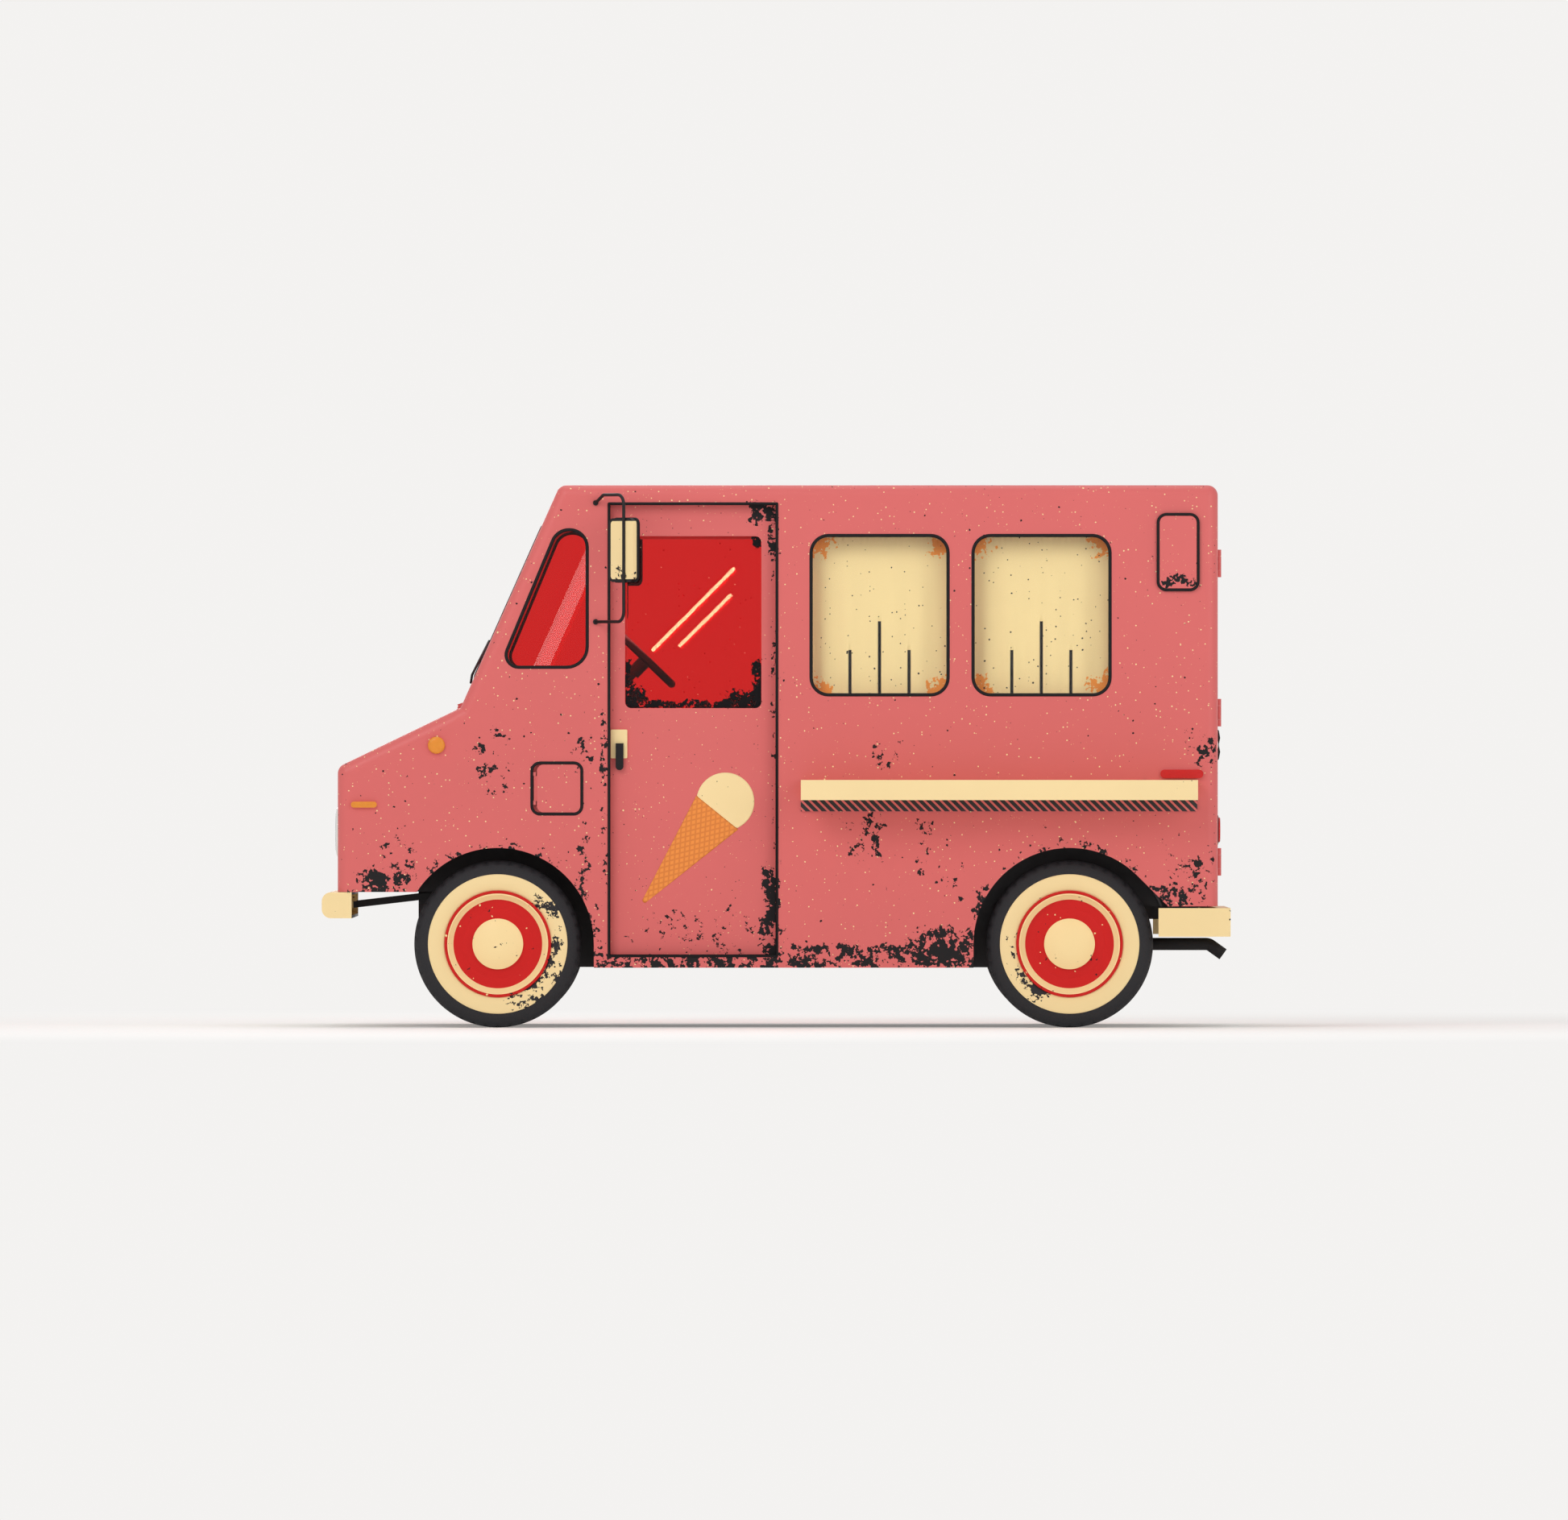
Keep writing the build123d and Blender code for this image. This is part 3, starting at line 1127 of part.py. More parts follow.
def seat_pads():
    """Cushion and back rest."""
    y = (DRIVER_Y - SEAT_W / 2, DRIVER_Y + SEAT_W / 2)
    cushion = block(SEAT_X, y, (SEAT_TOP_Z - SEAT_PAD, SEAT_TOP_Z))
    back = block((SEAT_X[0], SEAT_X[0] + SEAT_BACK_T), y, (SEAT_TOP_Z + FIT, SEAT_TOP_Z + SEAT_BACK_H))
    return [fillet(pad.edges(), EDGE_R / 2) for pad in (cushion, back)]


def curtain(window_x):
    """A pleated curtain inside a left serving window: a wave in plan, let down from its rod."""
    low, high = window_x[0] - CURTAIN_SIDE, window_x[1] + CURTAIN_SIDE
    step = (high - low) / CURTAIN_FOLDS

    def wave(shift):
        y = CURTAIN_Y + shift
        return [
            ThreePointArc(
                (low + fold * step, y), (low + (fold + 0.5) * step, y + CURTAIN_WAVE * (-1) ** fold),
                (low + (fold + 1) * step, y),
            )
            for fold in range(CURTAIN_FOLDS)
        ]

    near, far = CURTAIN_T / 2, -CURTAIN_T / 2
    ends = [Line((x, CURTAIN_Y + near), (x, CURTAIN_Y + far)) for x in (low, high)]
    outline = make_face(wave(near) + wave(far) + ends)
    hem = SERVING_Z[0] - CURTAIN_HEM
    return extrude(Plane.XY.offset(hem) * outline, amount=CURTAIN_ROD_Z - CURTAIN_ROD_R - hem)


def curtain_rod():
    """Rod over the left curtains, hung from the roof."""
    ends = (SERVING_X[1][0] - 2 * CURTAIN_SIDE, SERVING_X[0][1] + 2 * CURTAIN_SIDE)
    bar = rod((ends[0], CURTAIN_Y, CURTAIN_ROD_Z), (ends[1], CURTAIN_Y, CURTAIN_ROD_Z), CURTAIN_ROD_R)
    for x in (ends[0] + CURTAIN_SIDE, sum(ends) / 2, ends[1] - CURTAIN_SIDE):
        bar += rod((x, CURTAIN_Y, CURTAIN_ROD_Z), (x, CURTAIN_Y, ROOF_Z - WALL), CURTAIN_ROD_R)
    return bar


def freezer():
    """Chest freezer with its lid line."""
    chest = block(FREEZER_X, FREEZER_Y, (FLOOR_Z, FLOOR_Z + FREEZER_H - FREEZER_LID))
    lid = block(
        (FREEZER_X[0] - STEP_T, FREEZER_X[1] + STEP_T), (FREEZER_Y[0] + STEP_T, FREEZER_Y[1] + STEP_T),
        (FLOOR_Z + FREEZER_H - FREEZER_LID, FLOOR_Z + FREEZER_H),
    )
    return chest + lid


def counter():
    """Serving shelf: a top with a deep lip, gussets, and a ledger down the wall."""
    outer = HALF_W + COUNTER_DEPTH
    low = COUNTER_TOP_Z - COUNTER_FASCIA
    shelf = block(COUNTER_X, (HALF_W, outer), (COUNTER_TOP_Z - COUNTER_T, COUNTER_TOP_Z))
    shelf += block(COUNTER_X, (outer - COUNTER_T, outer), (low, COUNTER_TOP_Z))
    shelf += block(COUNTER_X, (HALF_W, HALF_W + LEDGER_T), (low - COUNTER_SKIRT, COUNTER_TOP_Z))
    shelf_z = COUNTER_TOP_Z - COUNTER_T
    web = polygon((HALF_W, low), (outer, shelf_z), (HALF_W, shelf_z))
    pitch = (COUNTER_X[1] - COUNTER_X[0] - LEDGER_T) / (COUNTER_GUSSETS - 1)
    for n in range(COUNTER_GUSSETS):
        shelf += extrude(Plane.YZ.offset(COUNTER_X[0] + n * pitch) * web, amount=LEDGER_T)
    return shelf


def vent():
    """Raised vent cover high on the left side."""
    cover = slab(rounded(VENT_X, VENT_Z, VENT_R), (HALF_W, HALF_W + VENT_T))
    return chamfer(cover.faces().sort_by(Axis.Y)[-1].edges(), VENT_T / 2)


def lamp_bar(x, z):
    """A lamp with round ends on the left side."""
    outline = rounded(x, z, (z[1] - z[0]) / 2 - 0.5)
    return slab(outline, (HALF_W, HALF_W + LAMP_PROUD))


def turn_lamp():
    dome = across(TURN_LAMP_X, TURN_LAMP_Z, (HALF_W, HALF_W + 1.5 * LAMP_PROUD), TURN_LAMP_R)
    return fillet(dome.edges().sort_by(Axis.Y)[-1], LAMP_PROUD)


def tail_lamp():
    centre = (REAR_X, TAIL_LAMP_Y, TAIL_LAMP_Z)
    dome = rod((REAR_X - TAIL_LAMP_PROUD, *centre[1:]), centre, TAIL_LAMP_R)
    return fillet(dome.edges().sort_by(Axis.X)[0], TAIL_LAMP_PROUD / 2)


def side_mirror():
    """Left mirror: a bent tube between two feet on the wall, and an upright head behind its bar."""
    out = HALF_W + MIRROR_OUT
    wall_y = HALF_W + MIRROR_PAD_T / 2
    low, high = MIRROR_FOOT_Z
    arm = tube(
        [(MIRROR_FOOT_X, wall_y, low), (MIRROR_X, out, low), (MIRROR_X, out, MIRROR_BAR_TOP_Z),
         (MIRROR_KNEE[0], HALF_W + MIRROR_KNEE[1], MIRROR_BAR_TOP_Z), (MIRROR_FOOT_X, wall_y, high)],
        [MIRROR_BEND_R, MIRROR_BEND_R, MIRROR_KNEE_R], MIRROR_TUBE_R,
    )
    for z in MIRROR_FOOT_Z:
        arm += across(MIRROR_FOOT_X, z, (HALF_W, HALF_W + MIRROR_PAD_T), MIRROR_PAD_R)
    height = MIRROR_Z[1] - MIRROR_Z[0]
    head = Box(MIRROR_T, MIRROR_W, height)
    head = fillet(head.edges().filter_by(Axis.X), MIRROR_R)
    return arm + Pos(MIRROR_X, out - MIRROR_BACK, sum(MIRROR_Z) / 2) * Rot(0, 0, MIRROR_YAW) * head


def front_bumper():
    """A hollow bar with round front edges and closed ends, on two irons from the frame."""
    x = FRONT_BUMPER_X
    bar = block(x, (-HALF_W, HALF_W), FRONT_BUMPER_Z)
    bar = fillet(bar.edges().filter_by(Axis.Y).sort_by(Axis.X)[2:], FRONT_BUMPER_R)
    room = block(
        (x[0] - 1, x[1] - BUMPER_T), (BUMPER_T - HALF_W, HALF_W - BUMPER_T),
        (FRONT_BUMPER_Z[0] + BUMPER_T, FRONT_BUMPER_Z[1] - BUMPER_T),
    )
    bar -= fillet(room.edges().filter_by(Axis.Y).sort_by(Axis.X)[2:], FRONT_BUMPER_R - BUMPER_T)
    middle = sum(FRONT_BUMPER_Z) / 2
    rail = RAIL_Y + RAIL_W / 2
    head = (x[1] - BUMPER_T, middle - IRON_H / 2)
    foot = (RAIL_FRONT_X - RAIL_W, RAIL_TOP_Z - IRON_H - 2)
    outline = polygon(
        head, (head[0], head[1] + IRON_H), (x[0], head[1] + IRON_H), (foot[0], foot[1] + IRON_H), foot,
        (x[0], head[1]),
    )
    iron = slab(outline, (rail, rail + IRON_T))
    return bar + iron + other_side(iron)


def rear_bumper():
    """A wrap-round step bumper with a hole for a tow ball, on two brackets from the frame."""
    x = REAR_BUMPER_X
    low, high = REAR_BUMPER_Z
    bar = block((x[0], x[0] + BUMPER_T), (-HALF_W, HALF_W), REAR_BUMPER_Z)
    bar += block((x[0], x[0] + REAR_STEP_D), (-HALF_W, HALF_W), (high - BUMPER_T, high))
    cheek = block(x, (HALF_W - BUMPER_T, HALF_W), REAR_BUMPER_Z)
    bracket = block((x[0] + BUMPER_T, RAIL_REAR_X), (RAIL_Y, RAIL_Y + BUMPER_T), (RAIL_LOW_Z, high))
    bar = bar + cheek + other_side(cheek) + bracket + other_side(bracket)
    hole = (x[0] + REAR_X) / 2
    return bar - rod((hole, 0, low), (hole, 0, high + BUMPER_T), TOW_HOLE_R)


# The pieces, each node by name

LEFT_WHEELS = {"front": FRONT_AXLE_X, "rear": REAR_AXLE_X}
LEFT_CURTAINS = [curtain(window_x) for window_x in SERVING_X]
AMBER = [turn_lamp(), lamp_bar(FRONT_MARKER_X, FRONT_MARKER_Z)]
RED = [lamp_bar(REAR_MARKER_X, REAR_MARKER_Z), tail_lamp()]
LEFT_RAILS = [door_rail(door_size()[1][0], -1), door_rail(door_size()[1][1], 1), curtain_rod()]
MOUNT = engine_mounts()

PARTS = {
    "roof": [roof()],
    "left_load_side": [load_side()],
    "right_load_side": [other_side(load_side())],
    "left_cab_side": [cab_side_with_pocket()],
    "right_cab_side": [other_side(cab_side())],
    "screen_panel": [screen_panel()],
    "nose_panel": [nose_panel()],
    "rear_frame": [rear_frame()],
    "fixed_glass": windscreen() + [half for pane in side_panes() for half in pair(pane)],
    "hood": [hood()],
    "filler_flap": [filler_flap()],
    "grille": [grille()],
    "headlamps": pair(headlamp()),
    "amber_lamps": [half for lamp in AMBER for half in pair(lamp)],
    "red_lamps": [half for lamp in RED for half in pair(lamp)],
    "vents": pair(vent()),
    "counter": [counter()],
    "mirrors": pair(side_mirror()),
    "front_bumper": [front_bumper()],
    "rear_bumper": [rear_bumper()],
    "chassis": [chassis()],
    "front_axle": [front_axle()],
    "rear_axle": [rear_axle()],
    "leaf_springs": [half for x in LEFT_WHEELS.values() for half in pair(leaf_spring(x))],
    "engine": [engine() + MOUNT + other_side(MOUNT)],
    "exhaust": [exhaust()],
    "fuel_tank": [fuel_tank()],
    "floor": [floor()],
    "wheel_housings": [half for spec in HOUSINGS for half in pair(wheel_housing(*spec))],
    "firewall": [firewall()],
    "inner_rails": [half for rail in LEFT_RAILS for half in pair(rail)],
    "left_curtains": LEFT_CURTAINS,
    "right_curtains": [other_side(cloth) for cloth in LEFT_CURTAINS],
    "seat_frame": [seat_frame()],
    "seat_pads": seat_pads(),
    "freezer": [freezer()],
    "steering_wheel": [steering_wheel()],
    "left_knuckle": [steering_knuckle()],
    "right_knuckle": [other_side(steering_knuckle())],
    "left_door": [side_door()],
    "left_door_glass": [door_glass()],
    "left_handle": [door_handle()],
    "rear_door_left": [rear_door()],
    "rear_glass_left": [rear_glass()],
}
for name in ("left_door", "left_door_glass", "left_handle"):
    PARTS[name.replace("left", "right")] = [other_side(PARTS[name][0])]
for name in ("rear_door_left", "rear_glass_left"):
    PARTS[name.replace("left", "right")] = [other_side(PARTS[name][0])]
for place, axle_x in LEFT_WHEELS.items():
    for kind, shape in (("wheel", wheel()), ("tyre", tyre())):
        left = Pos(axle_x, WHEEL_Y, AXLE_Z) * shape
        PARTS[f"{place}_left_{kind}"] = [left]
        PARTS[f"{place}_right_{kind}"] = [other_side(left)]

os.makedirs("parts", exist_ok=True)
for name, solids in PARTS.items():
    shape = solids[0] if len(solids) == 1 else Compound(children=solids)
    export_step(shape, f"parts/{name}.step")
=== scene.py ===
import math

import bmesh
import bpy
import numpy as np
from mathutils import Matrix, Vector


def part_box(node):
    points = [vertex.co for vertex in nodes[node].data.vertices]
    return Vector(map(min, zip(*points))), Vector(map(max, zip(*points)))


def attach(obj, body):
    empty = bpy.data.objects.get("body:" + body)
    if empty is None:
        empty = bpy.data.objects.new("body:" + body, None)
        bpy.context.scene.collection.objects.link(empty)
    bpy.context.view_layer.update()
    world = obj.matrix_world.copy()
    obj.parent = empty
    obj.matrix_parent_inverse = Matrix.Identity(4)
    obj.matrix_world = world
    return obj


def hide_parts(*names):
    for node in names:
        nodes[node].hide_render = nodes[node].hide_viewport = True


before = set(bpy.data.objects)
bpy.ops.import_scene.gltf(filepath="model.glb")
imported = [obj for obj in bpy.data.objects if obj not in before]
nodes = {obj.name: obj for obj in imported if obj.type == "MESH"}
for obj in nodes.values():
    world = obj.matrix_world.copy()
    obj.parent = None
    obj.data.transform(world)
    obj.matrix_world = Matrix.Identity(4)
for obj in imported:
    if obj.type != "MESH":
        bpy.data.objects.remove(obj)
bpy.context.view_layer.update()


def srgb(red, green, blue):
    """Linear colour of 8-bit screen values."""
    part = np.array((red, green, blue)) / 255
    linear = np.where(part <= 0.04045, part / 12.92, ((part + 0.055) / 1.055) ** 2.4)
    return (*linear.tolist(), 1.0)


def shade(colour, share):
    """A colour made darker or lighter."""
    return tuple(min(1.0, part * share) for part in colour[:3]) + (1.0,)


def unit(vector):
    """Vectors brought to length 1."""
    return vector / np.linalg.norm(vector, axis=-1, keepdims=True)


# Places on the van, in metres: +X to the front, +Y to the vehicle's left, +Z up
SIDES = (("left", 1), ("right", -1))
SIDE_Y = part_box("left_load_side")[1][1]
DOOR_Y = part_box("left_door")[1][1]
DOOR_GLASS_Y = 0.869
REAR_X = -1.919
ACROSS = np.array((0.0, 1.0, 0.0))
UP = np.array((0.0, 0.0, 1.0))

# Wheels
AXLES_X = (1.21, -1.275)
AXLE_Z = 0.364
WHEEL_Y = 0.815
HUB_R = 0.1103
RIM_BAND = (0.193, 0.2192)
WHITE_WALL_R = 0.303

# Openings in the sides: low and high x, low and high z, corner radius
DOORWAY = (-0.006, 0.729, 0.31, 2.28, 0.004)
VENT = (-1.832, -1.66, 1.904, 2.23, 0.035)
FLAP = (0.846, 1.059, 0.931, 1.149, 0.033)
SERVING = ((-0.7525, -0.146), (-1.456, -0.8495))
SERVING_Z = (1.441, 2.145)
SERVING_R = 0.081
# The quarter window's corners: x, z, radius
QUARTER = ((1.209, 1.561, 0.060), (0.955, 2.170, 0.082), (0.815, 2.170, 0.082), (0.815, 1.561, 0.095))
# Panes either side of the middle: near and far edge, low and high edge, corner radius
SCREEN_PANE = (0.03, 0.83, 0.17, 0.87, 0.06)
REAR_PANE = (0.11, 0.51, 1.42, 2.04, 0.05)

# Windscreen, as a plane from the cowl up to the roof
COWL = np.array((1.371, 0.0, 1.391))
SCREEN_UP = unit(np.array((0.940, 0.0, 2.358)) - COWL)
SCREEN_OUT = np.array((SCREEN_UP[2], 0.0, -SCREEN_UP[0]))

# Fittings
FRONT_BUMPER_X = 1.8442       # inner edge of the front bumper
COUNTER_LOW = 0.9895          # lower edge of the counter's fascia
HEADLAMP = (1.905, 0.56, 0.85)
HEADLAMP_R = 0.092
TAIL_LAMP = (REAR_X, 0.79, 0.86)
TAIL_LAMP_R = 0.055
SEAT_Y = 0.385
MIRROR_BAR = (0.661, 1.115)   # x and y of the upright tube
MIRROR_TUBE_R = 0.0074
MIRROR_Z = 2.0745
MIRROR_LEAN = math.radians(45)
MIRROR_BACK = 0.03            # head inboard of the tube
MIRROR_HALF = (0.075, 0.1385)
MIRROR_R = 0.027
MIRROR_BORDER = 0.0125
MIRROR_GLASS = (0.068, 0.131, 0.022)    # half sizes and corner radius
MIRROR_GLASS_OFF = 0.0187               # glass in front of the head's middle
FILM = 0.0006                           # painted figures and dirt stand this far off

PINK = srgb(217, 106, 104)
CREAM = srgb(247, 221, 164)
COTTON = srgb(241, 221, 166)
STAIN = srgb(240, 152, 62)
RED = srgb(206, 33, 32)
LENS_RED = srgb(208, 40, 40)
GLASS_RED = srgb(232, 93, 92)
GLASS_CLEAR = srgb(252, 250, 246)
ORANGE = srgb(231, 146, 55)
WAFFLE = srgb(237, 144, 54)
WAFFLE_LINE = srgb(221, 124, 45)
BLACK = srgb(26, 24, 26)
TYRE_BLACK = srgb(28, 27, 31)


# Shapes

def add_mesh(name, points, faces, body, material):
    """A finished piece from arrays of points and faces, closed up, facing outwards and riding on a body."""
    mesh = bpy.data.meshes.new(name)
    mesh.from_pydata(points.reshape(-1, 3).tolist(), [], faces.tolist())
    tidy = bmesh.new()
    tidy.from_mesh(mesh)
    bmesh.ops.remove_doubles(tidy, verts=tidy.verts, dist=1e-6)
    bmesh.ops.recalc_face_normals(tidy, faces=tidy.faces)
    tidy.to_mesh(mesh)
    tidy.free()
    mesh.polygons.foreach_set("use_smooth", np.ones(len(mesh.polygons), dtype=bool))
    mesh.materials.append(material)
    piece = add_object(name, mesh)
    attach(piece, body)
    return piece


def add_object(name, data):
    """An object in the scene, at the origin."""
    thing = bpy.data.objects.new(name, data)
    bpy.context.scene.collection.objects.link(thing)
    return thing


def grid_faces(rows, columns, round_rows=False, round_columns=False):
    """Quads of a grid of points, joined back to the start where it runs round."""
    index = np.arange(rows * columns).reshape(rows, columns)
    if round_rows:
        index = np.vstack([index, index[:1]])
    if round_columns:
        index = np.hstack([index, index[:, :1]])
    corners = (index[:-1, :-1], index[:-1, 1:], index[1:, 1:], index[1:, :-1])
    return np.stack(corners, axis=-1).reshape(-1, 4)


def surface(name, grid, body, finish, round_rows=False, round_columns=False):
    """A piece over a grid of points, rows by columns."""
    faces = grid_faces(*grid.shape[:2], round_rows, round_columns)
    return add_mesh(name, grid, faces, body, FINISH[finish])


def rubber(name, grid, body="body", round_rows=True):
    """A black rubber piece with a closed section."""
    surface(name, grid, body, "rubber", round_rows, True)


def thicken(piece, thickness, offset=-1.0):
    """Gives a sheet its thickness."""
    plate = piece.modifiers.new("thickness", "SOLIDIFY")
    plate.thickness = thickness
    plate.offset = offset


def on_right(points):
    """The same points on the vehicle's right."""
    return points * np.array((1, -1, 1))


def round_outline(corners, steps=9):
    """Closed flat outline through (a, b, radius) corners: each corner is an arc tangent to its two sides.

    Gives the points and, at each, the unit vector that points out of the outline.
    """
    corner = np.array(corners, dtype=float)
    place, radius = corner[:, :2], corner[:, 2:]
    back = unit(np.roll(place, 1, axis=0) - place)
    ahead = unit(np.roll(place, -1, axis=0) - place)
    middle = unit(back + ahead)
    half = np.arccos(np.clip(np.sum(back * middle, axis=1, keepdims=True), -1, 1))
    centre = place + middle * radius / np.sin(half)
    start = place + back * radius / np.tan(half) - centre
    end = place + ahead * radius / np.tan(half) - centre
    first = np.arctan2(start[:, 1], start[:, 0])
    turn = np.arctan2(end[:, 1], end[:, 0]) - first
    turn = (turn + np.pi) % (2 * np.pi) - np.pi
    angle = first[:, None] + turn[:, None] * np.linspace(0, 1, steps)
    out = np.stack([np.cos(angle), np.sin(angle)], axis=-1)
    points = centre[:, None] + radius[:, None] * out
    return points.reshape(-1, 2), out.reshape(-1, 2)


def box_corners(low_a, high_a, low_b, high_b, radius):
    """Corners of an upright rounded box, for round_outline."""
    corners = ((low_a, low_b), (high_a, low_b), (high_a, high_b), (low_a, high_b))
    return [(a, b, radius) for a, b in corners]


def pane_corners(side, near, far, low, high, radius):
    """Corners of a pane on one side of the middle."""
    return box_corners(*sorted((side * near, side * far)), low, high, radius)


def middle_corners(half_a, half_b, radius):
    """Corners of a rounded box about a middle."""
    return box_corners(-half_a, half_a, -half_b, half_b, radius)


def on_side(points):
    """Flat X and Z points on the left wall's outer face."""
    return np.stack([points[:, 0], np.full(len(points), SIDE_Y), points[:, 1]], axis=-1)


def on_rear(points):
    """Flat Y and Z points on the rear doors' outer face."""
    return np.stack([np.full(len(points), REAR_X), points[:, 0], points[:, 1]], axis=-1)


def on_screen(points):
    """Flat points across and up the windscreen's slope."""
    return COWL + points[:, :1] * ACROSS + points[:, 1:] * SCREEN_UP


def rim_strip(corners, section, place, out):
    """A closed strip round an outline.

    The section's first column runs out of the outline and its second off the face.
    """
    flat, away = round_outline(corners)
    path = place(flat)
    outward = unit(place(flat + away) - path)
    return path[:, None] + section[None, :, :1] * outward[:, None] + section[None, :, 1:] * np.array(out)


def bead(low, high, inner, outer, steps=7):
    """Section of a rubber bead: flat back, round face, between two widths and two heights."""
    turn = np.linspace(0, np.pi, steps)
    middle, half = (inner + outer) / 2, (outer - inner) / 2
    rise = min(half, high - low)
    crown = np.stack([middle + half * np.cos(turn), high - rise + rise * np.sin(turn)], axis=-1)
    return np.vstack([crown, [(inner, low), (outer, low)]])


def tube_grid(path, radius, steps=12):
    """Round bar along a path: a circle square to the path at each point, closed to a point at both ends."""
    along = unit(np.gradient(path, axis=0))
    upright = abs(along[0, 2]) >= 0.8
    first = unit(np.cross(along, ACROSS if upright else UP))
    second = np.cross(along, first)
    turn = np.linspace(0, 2 * np.pi, steps, endpoint=False)[None, :, None]
    ring = first[:, None] * np.cos(turn) + second[:, None] * np.sin(turn)
    ends = np.repeat(path[[0, -1], None], steps, axis=1)
    return np.concatenate([ends[:1], path[:, None] + radius * ring, ends[1:]])


def ring_grid(centre, radius, section, way, steps=64):
    """Ring turned about an axis along X: the section's columns are radius added and reach off the face."""
    turn = np.linspace(0, 2 * np.pi, steps, endpoint=False)[:, None]
    reach = radius + section[None, :, 0]
    x = centre[0] + way * np.broadcast_to(section[None, :, 1], (steps, len(section)))
    return np.stack([x, centre[1] + reach * np.cos(turn), centre[2] + reach * np.sin(turn)], axis=-1)


# Shader helpers

class Graph:
    """Nodes of one material or group, and the place that its patterns follow.

    An input is given as a socket to join or a value to set.
    """

    def __init__(self, tree):
        self.tree = tree
        self.place = None

    def add(self, kind, inputs=(), **settings):
        node = self.tree.nodes.new(kind)
        for key, value in settings.items():
            setattr(node, key, value)
        self.fill(node, inputs)
        return node

    def fill(self, node, inputs):
        for key, value in dict(inputs).items():
            self.feed(node.inputs[key], value)

    def feed(self, socket, value):
        if isinstance(value, bpy.types.NodeSocket):
            self.tree.links.new(value, socket)
        else:
            socket.default_value = value

    def use(self, group, output="Mask", **inputs):
        """An effect placed here with its own values."""
        inputs = {"Place": self.place, **inputs}
        return self.add("ShaderNodeGroup", inputs, node_tree=group).outputs[output]

    def split(self):
        """X, Y and Z of the place."""
        return self.add("ShaderNodeSeparateXYZ", {"Vector": self.place}).outputs

    def math(self, operation, *values):
        return self.add("ShaderNodeMath", enumerate(values), operation=operation).outputs[0]

    def times(self, first, second):
        return self.math("MULTIPLY", first, second)

    def without(self, mask):
        """The opposite of a mask."""
        return self.math("SUBTRACT", 1.0, mask)

    def off(self, value, middle):
        """Distance of a value from its middle."""
        return self.math("ABSOLUTE", self.math("SUBTRACT", value, middle))

    def length(self, first, second):
        """Root of the sum of two squares."""
        return self.math("SQRT", self.math("ADD", self.times(first, first), self.times(second, second)))

    def largest(self, *values):
        most = values[0]
        for value in values[1:]:
            most = self.math("MAXIMUM", most, value)
        return most

    def fade(self, value, start, end, low=0.0, high=1.0):
        """Smooth step of a value from low at start to high at end."""
        inputs = {"Value": value, "From Min": start, "From Max": end, "To Min": low, "To Max": high}
        return self.add("ShaderNodeMapRange", inputs, interpolation_type="SMOOTHSTEP").outputs[0]

    def gloss(self, cloud, low, high):
        """Roughness that follows a cloud from low to high."""
        return self.fade(cloud, 0.2, 0.8, low, high)

    def noise(self, scale, detail=4.0, rough=0.55):
        inputs = {"Vector": self.place, "Scale": scale, "Detail": detail, "Roughness": rough}
        return self.add("ShaderNodeTexNoise", inputs).outputs[0]

    def blend(self, amount, first, second):
        return self.add("ShaderNodeMix", {0: amount, 6: first, 7: second}, data_type="RGBA").outputs[2]

    def tone(self, cloud, colour, low, high):
        """A colour that follows a cloud from darker to lighter."""
        return self.blend(cloud, shade(colour, low), shade(colour, high))

    def bump(self, height, strength, distance):
        inputs = {"Height": height, "Strength": strength, "Distance": distance}
        return self.add("ShaderNodeBump", inputs).outputs[0]

    def show(self, amount, first, second):
        """Puts a mix of two shaders on the surface."""
        mix = self.add("ShaderNodeMixShader", {0: amount, 1: first, 2: second}).outputs[0]
        self.feed(self.tree.nodes["Material Output"].inputs["Surface"], mix)


def effect(name, inputs, output):
    """An empty shader group: a Place, number inputs and one number output."""
    group = bpy.data.node_groups.new(name, "ShaderNodeTree")
    group.interface.new_socket("Place", in_out="INPUT", socket_type="NodeSocketVector")
    for key in inputs:
        group.interface.new_socket(key, in_out="INPUT", socket_type="NodeSocketFloat")
    group.interface.new_socket(output, in_out="OUTPUT", socket_type="NodeSocketFloat")
    g = Graph(group)
    take = g.add("NodeGroupInput").outputs
    g.place = take["Place"]
    return group, g, take, g.add("NodeGroupOutput").inputs[output]


def make_chips():
    """Ragged paint chips: a coarse and a fine noise added, cut off at a level that falls as Zone rises."""
    group, g, take, give = effect("chipped_paint", ("Zone",), "Mask")
    coarse = g.noise(21.0, detail=5.0, rough=0.62)
    fine = g.noise(62.0, detail=3.0)
    both = g.math("ADD", g.times(coarse, 0.62), g.times(fine, 0.38))
    level = g.math("SUBTRACT", 0.71, g.times(take["Zone"], 0.26))
    g.feed(give, g.fade(g.math("SUBTRACT", both, level), 0.0, 0.008))
    return group


PATCH_SIZES = ("X", "Z", "Wide", "High", "Strength")


def make_patch():
    """A worn patch on the sides: full inside a box in X and Z, fading to nothing at twice its half sizes."""
    group, g, take, give = effect("worn_patch", PATCH_SIZES, "Zone")
    part = g.split()
    inside = g.times(take["Strength"], g.fade(g.math("ABSOLUTE", part["Y"]), 0.80, 0.86))
    for way, size in (("X", "Wide"), ("Z", "High")):
        share = g.math("DIVIDE", g.off(part[way], take[way]), take[size])
        inside = g.times(inside, g.fade(share, 2.0, 0.7))
    g.feed(give, inside)
    return group


